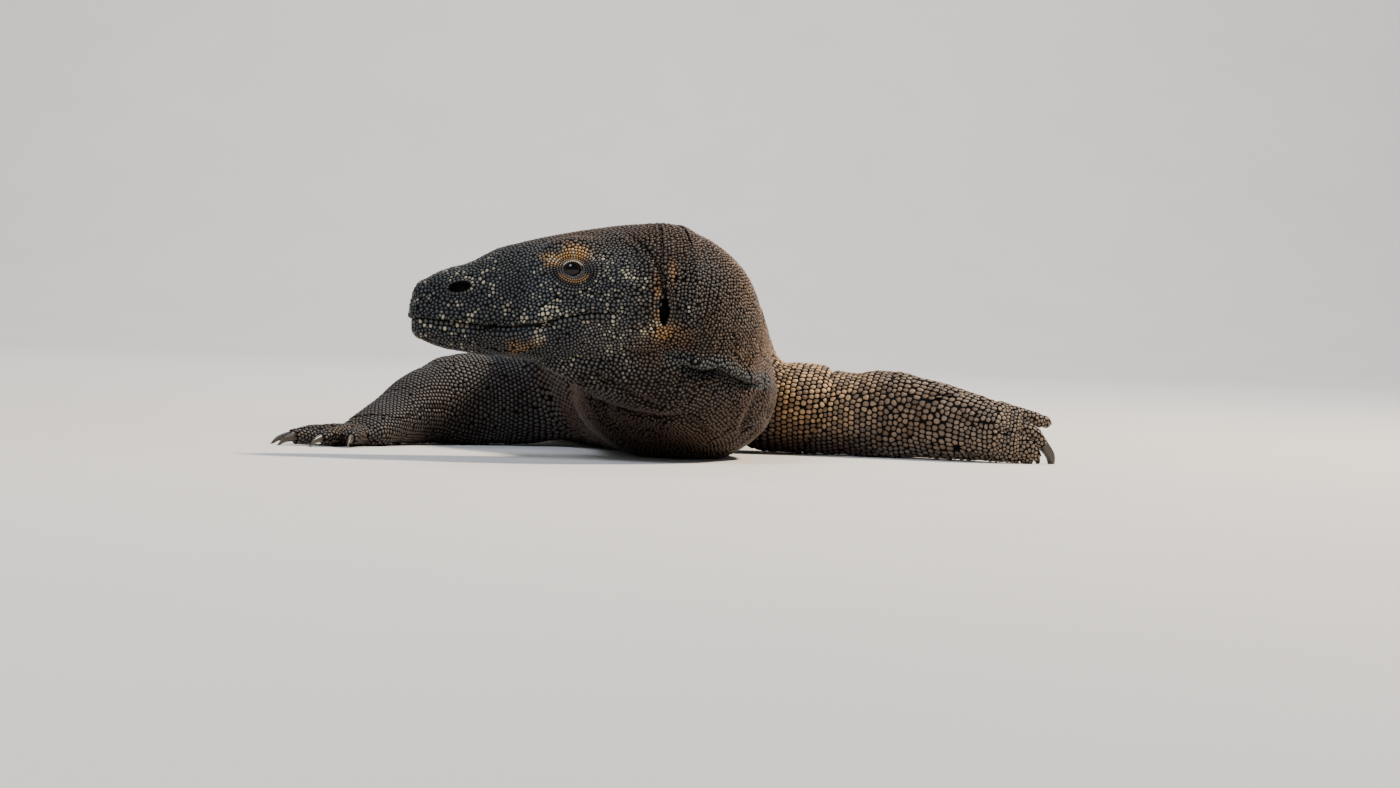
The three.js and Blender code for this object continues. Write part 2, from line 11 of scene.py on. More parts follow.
import bpy
import numpy as np
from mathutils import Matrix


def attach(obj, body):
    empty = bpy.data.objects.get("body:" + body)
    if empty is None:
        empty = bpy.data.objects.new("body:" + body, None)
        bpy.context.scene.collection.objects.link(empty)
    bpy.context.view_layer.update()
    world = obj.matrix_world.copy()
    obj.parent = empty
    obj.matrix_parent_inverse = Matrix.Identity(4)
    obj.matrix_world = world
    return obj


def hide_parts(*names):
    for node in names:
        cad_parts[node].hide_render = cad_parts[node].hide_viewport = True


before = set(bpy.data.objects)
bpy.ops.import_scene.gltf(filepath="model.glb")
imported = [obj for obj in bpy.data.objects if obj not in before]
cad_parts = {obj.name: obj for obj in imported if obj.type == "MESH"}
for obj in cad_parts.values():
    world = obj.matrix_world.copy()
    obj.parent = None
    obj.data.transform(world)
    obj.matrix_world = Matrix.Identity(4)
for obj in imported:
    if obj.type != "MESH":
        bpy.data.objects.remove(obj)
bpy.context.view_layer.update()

MM = 0.001
RANDOM = np.random.default_rng(20)

# ------------------------------------------------------------------ camera

CAMERA_PLACE = (0.041, -3.010, 0.115)
CAMERA_PITCH = 1.21  # degrees below level
CAMERA_ROLL = -1.71  # degrees; the ground falls a little to the right
LENS = 85.0
SENSOR = 36.0


def add_camera():
    """The camera, low over the floor in front of the animal, pitched and rolled a little."""
    data = bpy.data.cameras.new("camera")
    data.lens = LENS
    data.sensor_width = SENSOR
    data.clip_end = 60.0
    camera = bpy.data.objects.new("camera", data)
    camera.location = CAMERA_PLACE
    camera.rotation_euler = (math.radians(90 - CAMERA_PITCH), math.radians(CAMERA_ROLL), 0.0)
    bpy.context.scene.collection.objects.link(camera)
    bpy.context.scene.camera = camera


add_camera()

# ------------------------------------------------------------------ the animal's own measures

COAT = 1.2  # how far the bare skin lies inside the full outline; the scales fill it
SNOUT = np.array([-195.0, -322.0])
HEAD_TURN = math.radians(8)
BACKWARD = np.array([math.cos(HEAD_TURN), math.sin(HEAD_TURN), 0.0])
LEFTWARD = np.array([math.sin(HEAD_TURN), -math.cos(HEAD_TURN), 0.0])
JAW_CORNER = 166.0
EYE = {"back": 128.0, "side": 36.6, "z": 156.0, "radius": 9.3}
EYE_TIP = 8  # degrees; the eye tips down towards the snout
NOSTRIL = (38.0, 139.0)  # distance behind the snout tip, height
NOSTRIL_TIP = 12  # degrees; the nostril rises towards the eye
NOSTRIL_LONG, NOSTRIL_HIGH = 7.6, 3.5  # half measures
EYE_LONG = 1.28  # how much longer than high the rings round the eye are
EAR_BACK = {1: 201.0, -1: 195.0}  # by side: 1 left, -1 right
EAR_Z = 128.0
HEAD_FRONT = -0.2  # the head lies in front of this plane, metres

# One row for each station: x, y, z of the centre, half width, height above it, depth below it and,
# where the back is more like a gable than an oval, the power of its upper half.
BODY = [
    (-24, -306, 134, 42, 46, 42), (12, -300, 132, 51, 65, 56, 2), (40, -266, 118, 50, 66, 72, 1.75),
    (46, -208, 102, 53, 70, 88, 1.7), (34, -142, 95, 71, 70, 98, 1.8), (10, -72, 94, 93, 76, 98, 1.8),
    (-5, 10, 96, 112, 84, 101, 1.8), (-26, 120, 98, 126, 86, 104), (-46, 250, 98, 138, 90, 104),
    (-56, 390, 96, 141, 90, 102), (-62, 530, 91, 132, 84, 96), (-58, 650, 83, 107, 76, 87),
    (-46, 750, 74, 87, 69, 77), (-26, 850, 62, 70, 61, 64), (4, 970, 52, 57, 54, 53.5),
    (44, 1110, 43, 44, 48, 44.2), (88, 1260, 35, 34, 40, 36), (122, 1420, 28, 25.5, 32, 28.8),
    (136, 1590, 21, 18.5, 24.5, 21.6), (122, 1760, 15, 12.8, 17.5, 15.5), (84, 1910, 10, 8.6, 11.5, 10.4),
    (30, 2040, 6.2, 5.2, 7.2, 6.5), (-20, 2130, 3.6, 2.6, 3.6, 3.7),
]
THROAT = [
    (-74, -310, 92, 30, 24, 22), (-38, -303, 84, 44, 34, 30), (0, -282, 76, 56, 50, 42),
    (22, -238, 66, 68, 50, 52), (24, -180, 58, 84, 40, 60), (18, -110, 58, 88, 40, 60),
]
# Head stations: distance behind the snout tip, height of the centre, half width, height above, depth below.
SKULL = [
    (12, 115, 22, 31, 8), (28, 115, 30, 40, 10), (48, 115, 34, 45, 12), (72, 116, 38, 56, 13),
    (98, 118, 43, 61, 14), (128, 121, 49, 65, 18), (160, 124, 54, 68, 24), (190, 126, 56, 70, 34),
    (216, 126, 52, 69, 42),
]
LOWER_JAW = [
    (11, 106, 20, 9, 10.5), (30, 104, 28, 9, 16), (62, 103, 33, 9, 19), (98, 103, 41, 12, 22),
    (134, 104, 48, 18, 28), (172, 107, 52, 22, 37), (200, 108, 50, 24, 44),
]
# Height of the closed mouth by distance behind the snout tip.
MOUTH_BACK = [-6, 12, 36, 60, 78, 98, 120, 144, 166]
MOUTH_Z = [112, 113.5, 111, 109, 108.5, 110.5, 117, 121.5, 122]
# Lumps on the head: distance back, side, height, then the three radii in the same directions.
CHEEK = (176, 38, 130, 34, 21, 33)
BROW = (130, 31, 172, 26, 13, 11)

# Each limb: upper and lower stations as above, then the hand: wrist, heading, back of the hand, side the
# first digit lies on, grip, palm length, width and thickness, its digits as
# (across, splay, length, droop, claw length, own grip or None), and the numbers of those with worn claws.
FOOT_DIGITS = [
    (-20, -28, 28, 10, 20, None), (-11, -14, 40, 10, 22, None), (0, 2, 50, 9, 23, None),
    (11, 18, 52, 9, 23, None), (20, 52, 36, 10, 20, None),
]
LIMBS = {
    "right_arm": {
        "upper": [(-55, 12, 76, 46, 40, 52), (-105, 2, 50, 43, 32, 47), (-150, -10, 44, 41, 37, 45),
                  (-184, -24, 41, 36, 36, 42)],
        "lower": [(-170, -12, 43, 36, 38, 44), (-204, -46, 36, 33, 32, 37), (-229, -82, 24, 28, 20, 25),
                  (-250, -118, 13, 24, 12, 14)],
        "wrist": (-250, -116, 10), "heading": (-0.78, -0.62, 0), "back": (0, 0, 1), "side": 1,
        "grip": (0, 0, -1), "palm": (30, 26, 9),
        "digits": [(-22, -46, 26, 6, 20, None), (-12, -21, 36, 6, 23, None), (0, 0, 40, 6, 24, None),
                   (12, 19, 37, 6, 23, None), (22, 44, 28, 6, 20, None)],
    },
    "left_arm": {
        "upper": [(55, 12, 74, 46, 40, 52), (104, 2, 50, 44, 35, 48), (140, -6, 45, 42, 38, 46),
                  (170, -12, 42, 39, 34, 43), (222, -27, 39, 36, 35, 40)],
        "lower": [(204, -20, 40, 36, 36, 41), (245, -40, 37, 33, 35, 38), (280, -62, 31, 29, 31, 32),
                  (306, -80, 27, 21, 27, 27.5)],
        "wrist": (300, -78, 28), "heading": (0.97, -0.2, -0.1), "back": (-0.12, -0.96, 0.22), "side": -1,
        "grip": (0, 0.45, -0.9), "palm": (22, 25, 14),
        "digits": [(-20, -1, 16, 70, 13, (0, 1, 0)), (-11, 2, 28, 70, 10, (0, 0.5, -1)),
                   (-2, -4, 30, 56, 10, (0, 0.5, -1)), (9, -4, 34, 42, 25, None),
                   (19, -8, 42, 62, 14, (0, 1, 0))],
        "worn": (3,),
    },
    "right_leg": {
        "upper": [(-92, 738, 62, 46, 46, 56), (-144, 700, 50, 52, 36, 50), (-184, 656, 38, 45, 33, 39),
                  (-205, 622, 34, 36, 30, 35)],
        "lower": [(-204, 610, 34, 34, 29, 35), (-198, 660, 30, 34, 27, 31), (-192, 712, 22, 27, 20, 23),
                  (-180, 752, 16, 21, 15, 17)],
        "wrist": (-182, 756, 14), "heading": (-0.97, -0.24, 0), "back": (0, 0, 1), "side": 1,
        "grip": (0, 0, -1), "palm": (54, 23, 11), "digits": FOOT_DIGITS,
    },
    "left_leg": {
        "upper": [(-2, 738, 62, 46, 46, 56), (48, 704, 50, 52, 36, 50), (88, 664, 38, 45, 33, 39),
                  (110, 632, 34, 36, 30, 35)],
        "lower": [(112, 620, 34, 34, 29, 35), (106, 672, 30, 34, 27, 31), (100, 724, 22, 27, 20, 23),
                  (88, 764, 16, 21, 15, 17)],
        "wrist": (91, 768, 14), "heading": (0.95, -0.31, 0), "back": (0, 0, 1), "side": -1,
        "grip": (0, 0, -1), "palm": (54, 23, 11), "digits": FOOT_DIGITS,
    },
}
DIGIT_RADIUS = 7.4
CLAW_HEIGHT = 4.6  # half height of a claw at its root

# ------------------------------------------------------------------ small tools


def unit(v):
    """Rows of v divided by their own length."""
    return v / np.maximum(np.linalg.norm(v, axis=-1, keepdims=True), 1e-12)


def dot(a, b):
    """Row by row product a . b."""
    return np.einsum("ij,ij->i", a, b)


def ramp(low, high, x):
    """Smooth step: 0 below low, 1 above high, 3u^2 - 2u^3 between."""
    u = np.clip((x - low) / (high - low), 0, 1)
    return u * u * (3 - 2 * u)


def bump(x, width):
    """Bell exp(-(x/width)^2)."""
    return np.exp(-((x / width) ** 2))


def soft_min(a, b, reach):
    """The smaller of a and b, rounded where they differ by less than reach: a fillet of about that size."""
    h = np.clip(0.5 + 0.5 * (b - a) / reach, 0, 1)
    return b * (1 - h) + a * h - reach * h * (1 - h)


def scatter(cells, seed):
    """A fixed random number in 0..1 for each row of whole numbers: the fraction of a scrambled product."""
    x = cells[:, 0] * 12.9898 + cells[:, 1] * 78.233 + cells[:, 2] * 37.719 + seed * 4.581
    return np.mod(np.sin(x) * 43758.5453, 1.0)


def noise(p, size, seed):
    """Value noise in 0..1: random numbers on a cubic grid of that size, blended smoothly in between."""
    q = p / size
    cell = np.floor(q)
    u = q - cell
    u = u * u * (3 - 2 * u)
    total = np.zeros(len(p))
    for corner in np.ndindex(2, 2, 2):
        weight = np.prod(np.where(np.array(corner) == 1, u, 1 - u), axis=1)
        total += weight * scatter(cell + corner, seed)
    return total


def turned(u, v, degrees):
    """(u, v) turned: u cos - v sin, u sin + v cos."""
    c, s = math.cos(math.radians(degrees)), math.sin(math.radians(degrees))
    return u * c - v * s, u * s + v * c


def spline(values, t):
    """Catmull-Rom curve through the rows of values, spaced evenly: its value and slope at each t in 0..1."""
    count = len(values) - 1
    rows = np.vstack([2 * values[0] - values[1], values, 2 * values[-1] - values[-2]])
    place = np.clip(t, 0, 1) * count
    i = np.minimum(place.astype(int), count - 1)
    u = (place - i)[:, None]
    before, start, end, after = rows[i], rows[i + 1], rows[i + 2], rows[i + 3]
    out, into = 0.5 * (end - before), 0.5 * (after - start)
    square = -3 * start + 3 * end - 2 * out - into
    cube = 2 * start - 2 * end + out + into
    return start + out * u + square * u**2 + cube * u**3, (out + 2 * square * u + 3 * cube * u**2) * count


# ------------------------------------------------------------------ forms of the flesh

SAMPLE = 0.010  # spacing of the stored sections along a spine


class Solid:
    """A form of the flesh, with a box from low to high outside which it has no say."""

    name = ""

    def holds(self, p):
        return np.all((p > self.low) & (p < self.high), axis=1)


class Form(Solid):
    """Oval sections |x/wide|^n + |y/high|^n = 1 carried along a curved spine, with half-ellipsoid ends.

    At a point, k = (|x/wide|^n + |y/high|^n)^(1/n) on the section through it, with the distance past an end
    added as (excess/dome)^2 under a root; the distance to the surface is about r - r/k.
    """

    def __init__(self, name, stations, square=2.0, domes=(8, 8), blend=8, above=(0, 0, 1), pitch=(5, 5)):
        table = np.array([tuple(s) + (square,) * (7 - len(s)) for s in stations], float)
        table[:, :6] *= MM
        self.name, self.square, self.blend = name, square, blend * MM
        self.stations = len(stations) - 1
        self.domes = np.array(domes, float) * MM
        fine = np.linspace(0, 1, 60 * len(stations))
        walk, _ = spline(table[:, :3], fine)
        length = np.concatenate([[0], np.cumsum(np.linalg.norm(np.diff(walk, axis=0), axis=1))])
        self.length = length[-1]
        self.count = max(int(self.length / SAMPLE) + 1, 5)
        self.step = self.length / (self.count - 1)
        t = np.interp(np.arange(self.count) * self.step, length, fine)
        self.t = t
        self.centre, slope = spline(table[:, :3], t)
        self.size, _ = spline(table[:, 3:], t)
        self.along = unit(slope)
        self.side = unit(np.cross(self.along, np.array(above, float)))
        self.up = unit(np.cross(self.side, self.along))
        self.pitch = pitch
        margin = max(self.blend, 0.012) + self.size[:, :3].max() + self.domes.max()
        self.low, self.high = self.centre.min(0) - margin, self.centre.max(0) + margin

    def at(self, table, place):
        """A stored table between its samples."""
        i = np.minimum(place.astype(int), self.count - 2)
        u = (place - i)[:, None]
        return table[i] * (1 - u) + table[i + 1] * u

    def locate(self, p):
        """Distance along the spine of each point, by its nearest sample and two steps along the tangent."""
        nearest = np.zeros(len(p), int)
        own = (self.centre**2).sum(1)
        for start in range(0, len(p), 40000):
            part = p[start:start + 40000]
            nearest[start:start + 40000] = (own - 2 * part @ self.centre.T).argmin(1)
        s = nearest * self.step
        for _ in range(2):
            inside = np.clip(s / self.step, 0, self.count - 1)
            tangent = unit(self.at(self.along, inside))
            s = inside * self.step + dot(p - self.at(self.centre, inside), tangent)
        return s

    def section(self, p):
        """Place along the spine, distance past its ends, and the point's x and y on its section."""
        s = self.locate(p)
        inside = np.clip(s / self.step, 0, self.count - 1)
        offset = p - self.at(self.centre, inside)
        x = dot(offset, self.at(self.side, inside))
        y = dot(offset, self.at(self.up, inside))
        return inside, s - inside * self.step, x, y

    def distance(self, p):
        """Distance to the surface, r - r/k."""
        inside, excess, x, y = self.section(p)
        size = self.at(self.size, inside)
        high = np.where(y > 0, size[:, 1], size[:, 2])
        power = np.where(y > 0, size[:, 3], self.square)
        k = (np.abs(x / size[:, 0]) ** power + np.abs(y / high) ** power) ** (1 / power)
        dome = np.where(excess < 0, self.domes[0], self.domes[1])
        k = np.maximum(np.sqrt(k**2 + (excess / dome) ** 2), 1e-3)
        r = np.sqrt(x**2 + y**2 + excess**2)
        r = np.maximum(r, 1e-3 * size[:, 0])
        return r - r / k

    def ring(self, place, angle, scale=1.0, offset=0.0):
        """Points of one section at the given angles: x = wide |cos|^(2/n), y = high |sin|^(2/n), signed."""
        place = np.full(len(angle), float(place))
        size = self.at(self.size, place)
        c, s = np.cos(angle), np.sin(angle)
        power = 2 / np.where(s > 0, size[:, 3], self.square)
        x = scale * size[:, 0] * np.sign(c) * np.abs(c) ** power
        y = scale * np.where(s > 0, size[:, 1], size[:, 2]) * np.sign(s) * np.abs(s) ** power
        centre = self.at(self.centre, place) + offset * self.at(self.along, place)
        return centre + x[:, None] * self.at(self.side, place) + y[:, None] * self.at(self.up, place)

    def rings(self, spacing):
        """(place, scale, offset) of sections about `spacing` apart, down both rounded ends as well."""
        found = []
        for end, dome in enumerate(self.domes):
            tall = self.size[-end, :3].mean()
            turns = max(int(math.pi / 2 * max(dome, 0.6 * tall) / spacing), 1)
            a = (np.arange(turns) + 0.5) / turns * math.pi / 2
            sign = 1 if end else -1
            cap = [((self.count - 1) * end, math.sin(v), sign * dome * math.cos(v)) for v in a]
            found.append(cap[::-1] if end else cap)
        body = [(v, 1.0, 0.0) for v in np.linspace(0, self.count - 1, max(int(self.length / spacing), 3))]
        return found[0] + body + found[1]

    def shell(self, spacing, around):
        """The form's closed surface as vertices and quads."""
        angle = np.linspace(0, 2 * math.pi, around, endpoint=False)
        rings = np.array([self.ring(p, angle, s, o) for p, s, o in self.rings(spacing)])
        return closed_tube(rings)


def closed_tube(rings):
    """Joins rings (rows x around x 3) into quads, with a fan to the middle of the first and last ring."""
    rows, around, _ = rings.shape
    verts = np.vstack([rings.reshape(-1, 3), rings[0].mean(0), rings[-1].mean(0)])
    i = np.arange(around)
    j = (i + 1) % around
    start = (np.arange(rows - 1) * around)[:, None]
    quads = np.stack([start + i, start + around + i, start + around + j, start + j], -1).reshape(-1, 4)
    last = (rows - 1) * around
    first_cap = np.stack([np.full(around, rows * around), i, j], -1)
    last_cap = np.stack([np.full(around, rows * around + 1), last + j, last + i], -1)
    return verts, quads.tolist() + first_cap.tolist() + last_cap.tolist()


class Lump(Solid):
    """An ellipsoid in the head's own directions: k = |q/r|, the distance is about k (k - 1) / |q/r^2|."""

    def __init__(self, back, side, z, long, wide, high, blend):
        self.centre = head_point(back, side, z)
        self.radii = np.array([long, wide, high]) * MM
        self.blend = blend * MM
        margin = self.radii.max() + self.blend
        self.low, self.high = self.centre - margin, self.centre + margin

    def distance(self, p):
        offset = p - self.centre
        q = np.stack([offset @ BACKWARD, offset @ LEFTWARD, offset[:, 2]], -1)
        k = np.linalg.norm(q / self.radii, axis=1)
        return k * (k - 1) / np.maximum(np.linalg.norm(q / self.radii**2, axis=1), 1e-9)

    def shell(self, spacing, around):
        """The closed surface in twelve rings, whatever the spacing."""
        lift = np.linspace(-math.pi / 2, math.pi / 2, 14)[1:-1]
        turn = np.linspace(0, 2 * math.pi, around, endpoint=False)
        u, v = np.meshgrid(turn, lift)
        x, y, z = np.cos(v) * np.cos(u), np.cos(v) * np.sin(u), np.sin(v)
        q = np.stack([x, y, z], -1) * self.radii
        rings = self.centre + q[..., :1] * BACKWARD + q[..., 1:2] * LEFTWARD + q[..., 2:] * [0, 0, 1.0]
        return closed_tube(rings)


def head_point(back, side, z):
    """A point in metres by its distance behind the snout tip, offset to the left and height."""
    plan = np.array([*SNOUT, 0.0]) + back * BACKWARD + side * LEFTWARD
    return (plan + [0, 0, z]) * MM


def head_place(p):
    """Distance behind the snout tip, offset to the left and height of each point, in millimetres."""
    q = p / MM - [*SNOUT, 0.0]
    return q @ BACKWARD, q @ LEFTWARD, q[:, 2]


def head_stations(rows):
    """Head stations as stations in the animal's own frame."""
    return [tuple(head_point(back, 0, z) / MM) + (wide, up, down) for back, z, wide, up, down in rows]


def digit_spine(hand, digit):
    """Spines of a digit and its claw: it leaves the palm at its splay and bends by its droop to the grip."""
    across_by, splay, length, droop, claw, grip = digit
    palm_length, palm_wide, _ = hand["palm"]
    heading = unit(np.array(hand["heading"], float))
    across = unit(np.cross(heading, hand["back"]))
    across = across * hand["side"]
    splay, droop = math.radians(splay), math.radians(droop)
    out = heading * math.cos(splay) + across * math.sin(splay)
    grip = np.array(grip or hand["grip"], float)
    grip = unit(grip - out * (grip @ out))
    level = np.cross(out, grip)

    def bent(angle):
        return out * math.cos(angle) + grip * math.sin(angle)

    root = np.array(hand["wrist"], float) + across * across_by
    root = root + heading * palm_length * (1 - 0.35 * abs(across_by / palm_wide))
    knuckle = root + bent(droop * 0.2) * length * 0.5
    tip = knuckle + bent(droop) * length * 0.5
    claw_root = tip + bent(droop) * 0.6
    claw_mid = claw_root + bent(droop + 0.15) * claw * 0.5
    claw_tip = claw_mid + bent(droop + 0.65) * claw * 0.5
    return [root - out * 10, knuckle, tip], [claw_root, claw_mid, claw_tip], level


def make_forms():
    """Every form of the flesh, the large ones first, so that each joins what is already there."""
    forms = [
        Form("body", BODY, 2.15, (48, 8), 10, pitch=BODY_PITCH),
        Form("throat", THROAT, 2.1, (16, 30), 16, pitch=(3.1, 3.4)),
        Form("skull", head_stations(SKULL), 2.35, (13, 30), 12, pitch=SKULL_PITCH),
        Form("jaw", head_stations(LOWER_JAW), 2.3, (10, 20), 4, pitch=(2.7, 2.6)),
    ]
    for side in (1, -1):
        for (back, out, z, *radii), blend in ((CHEEK, 12), (BROW, 7)):
            forms.append(Lump(back, out * side, z, *radii, blend))
    for name, limb in LIMBS.items():
        top, low, hand = LIMB_PITCH[name]
        forms.append(Form(name + "_upper", limb["upper"], 2, (20, 24), 22, pitch=top))
        forms.append(Form(name + "_lower", limb["lower"], 2, (24, 12), 12, pitch=low))
        length, wide, thick = limb["palm"]
        heading = unit(np.array(limb["heading"], float))
        palm = [tuple(np.array(limb["wrist"]) + heading * d) + (wide * w, thick, thick + 3)
                for d, w in ((-12, 0.78), (0.4 * length, 0.95), (length, 1.0))]
        forms.append(Form(name + "_palm", palm, 2, (8, 8), 8, limb["back"], (hand, hand)))
        for digit in limb["digits"]:
            toe, _, level = digit_spine(limb, digit)
            sizes = [DIGIT_RADIUS, DIGIT_RADIUS * 0.98, DIGIT_RADIUS * 0.8]
            rows = [tuple(p) + (r, r, r) for p, r in zip(toe, sizes)]
            forms.append(Form(name + "_digit", rows, 2, (6, 1.5), 3.5, level, (hand, hand)))
    return forms


# Spacing of the scales along and across each form, in millimetres, at the numbered stations.
BODY_PITCH = [
    (0, 2.7, 2.9), (1, 2.6, 3.0), (2, 2.8, 3.0), (3, 3.2, 3.3), (4, 3.8, 3.9), (5, 4.8, 4.7), (6, 6.0, 5.8),
    (9, 7.8, 7.4), (12, 7.4, 7.0), (14, 6.8, 6.2), (17, 5.8, 4.8), (20, 4.6, 3.4), (22, 3.0, 2.2),
]
SKULL_PITCH = [(0, 2.8, 2.8), (2, 3.2, 3.1), (4, 2.8, 2.7), (5, 3.2, 2.3), (6, 3.5, 2.1), (8, 3.4, 2.3)]
LIMB_PITCH = {
    "right_arm": ([(0, 4.6, 4.4), (3, 4.0, 4.2)], [(0, 3.6, 4.2), (3, 3.0, 3.8)], 3.2),
    "left_arm": ([(0, 4.8, 4.6), (4, 5.4, 4.8)], [(0, 6.4, 4.8), (2, 6.6, 4.6), (3, 5.0, 4.2)], 3.4),
    "right_leg": ([(0, 6.8, 6.4), (3, 5.8, 5.2)], [(0, 5.6, 5.0), (3, 4.2, 4.0)], 3.8),
    "left_leg": ([(0, 6.8, 6.4), (3, 5.8, 5.2)], [(0, 5.6, 5.0), (3, 4.2, 4.0)], 3.8),
}

FORMS = make_forms()
FORM_NAMES = np.array([form.name for form in FORMS])
FAR = 0.06  # a distance past every form


def flesh(p):
    """Distance to the bare flesh: the soft smaller of all the forms that come near each point."""
    total = np.full(len(p), FAR)
    for form in FORMS:
        near = form.holds(p)
        if near.any():
            total[near] = soft_min(total[near], form.distance(p[near]), form.blend)
    return total


# ------------------------------------------------------------------ relief of the face and throat

# Folds of the throat and neck, as lines seen from the front: points x, z, then how deep and how wide the
# furrow is and how far the ridge above it stands out.
FOLDS = [
    ([(-104, 84), (-89, 78), (-62, 67), (-45, 52), (-15, 45), (12, 41), (29, 43), (41, 37), (58, 21)],
     4.2, 4.5, 2.2),
    ([(-52, 82), (-40, 74), (-24, 67), (-5, 57), (11, 50), (24, 49)], 2.6, 3.6, 1.6),
    ([(20, 86), (32, 82), (44, 79), (56, 81), (66, 76), (79, 70), (95, 68)], 6.5, 7.0, 4.2),
    ([(-30, 99), (-8, 93), (14, 92)], 1.6, 4.5, 0.9),
    ([(76, 18), (75, 30), (80, 44), (86, 56), (92, 68)], 4.0, 5.5, 2.4),
    ([(-74, 96), (-58, 88), (-34, 84), (-14, 76)], 1.6, 4.0, 1.0),
]
# The crease from the ear up over the temple: distance behind the ear's middle, z.
TEMPLE_CREASE = [(0, 130), (-1, 142), (-4, 154), (-10, 167), (-21, 180), (-36, 190)]
# The crease between the left shoulder and the arm: x, z.
ARM_CREASE = [(137, 4), (142, 15), (154, 35), (159, 56), (162, 76), (162, 90)]
FOLD_DEPTH_Y = -0.15  # the folds belong to the bent side of the neck, in front of this plane


def line_distance(x, z, points):
    """Distance from (x, z) to a broken line, the same with its side's sign, and how far from its ends."""
    best = np.full(len(x), 1e9)
    above = np.zeros(len(x))
    run = np.zeros(len(x))
    walked = 0.0
    for (x0, z0), (x1, z1) in zip(points[:-1], points[1:]):
        dx, dz = x1 - x0, z1 - z0
        long = math.hypot(dx, dz)
        u = np.clip(((x - x0) * dx + (z - z0) * dz) / long**2, 0, 1)
        px, pz = x - x0 - u * dx, z - z0 - u * dz
        d = np.hypot(px, pz)
        closer = d < best
        best = np.where(closer, d, best)
        above = np.where(closer, np.sign(dx * pz - dz * px), above)
        run = np.where(closer, walked + u * long, run)
        walked += long
    return best, best * above, np.minimum(run, walked - run)


def fold_profile(x, z):
    """Height of the folds in millimetres, and the painted shade of their furrows: a rounded ledge over each
    line, a furrow under it.

    ledge = ridge bell((d - 2)/(1.3 wide)), furrow = -deep bell((d + 1.5)/wide), joined by a step 3 mm wide.
    """
    total = np.zeros(len(x))
    shade = np.zeros(len(x))
    for points, deep, wide, ridge in FOLDS:
        _, d, end = line_distance(x, z, points)
        step = ramp(-1.5, 1.5, d)
        fade = ramp(0, 16, end)
        furrow = bump(d + 1.5, wide) * (1 - step)
        total += fade * (step * ridge * bump(d - 2, 1.3 * wide) - deep * furrow)
        # painted shade: each furrow is darkened as deep as it is, where shadow falls in it
        shade = np.maximum(shade, fade * furrow * min(deep / 5, 1.0))
    return total, shade


def eye_ring(back, z):
    """Elliptic distance from the middle of an eye, longer than high and tipped down towards the snout."""
    u, v = turned(back - EYE["back"], z - EYE["z"], EYE_TIP)
    return np.hypot(u / EYE_LONG, v)


def eye_opening(back, z):
    """1 on the edge of the lids: |v|/high + (u/long)^2, a lens with pointed corners, tipped forward."""
    u, v = turned(back - EYE["back"], z - EYE["z"], EYE_TIP)
    return np.abs(v - 0.4) / 5.3 + (u / 7.2) ** 2


def nostril_ring(back, z):
    """1 on the rim of a nostril, an ellipse 15 by 7 mm."""
    u, v = turned(back - NOSTRIL[0], z - NOSTRIL[1], -NOSTRIL_TIP)
    return np.hypot(u / NOSTRIL_LONG, v / NOSTRIL_HIGH)


def ear_slot(u, v):
    """1 on the rim of an ear: an upright drop, wide below, by u behind and v above its middle."""
    return np.hypot(u / np.maximum(3.7 - 0.17 * v, 1.2), v / 13.8)


def behind_ear(back, side):
    """Distance behind the middle of the ear on each point's own side."""
    return back - np.where(side > 0, EAR_BACK[1], EAR_BACK[-1])


def above_mouth(back, z):
    """Height over the closed mouth's line."""
    return z - np.interp(back, MOUTH_BACK, MOUTH_Z)


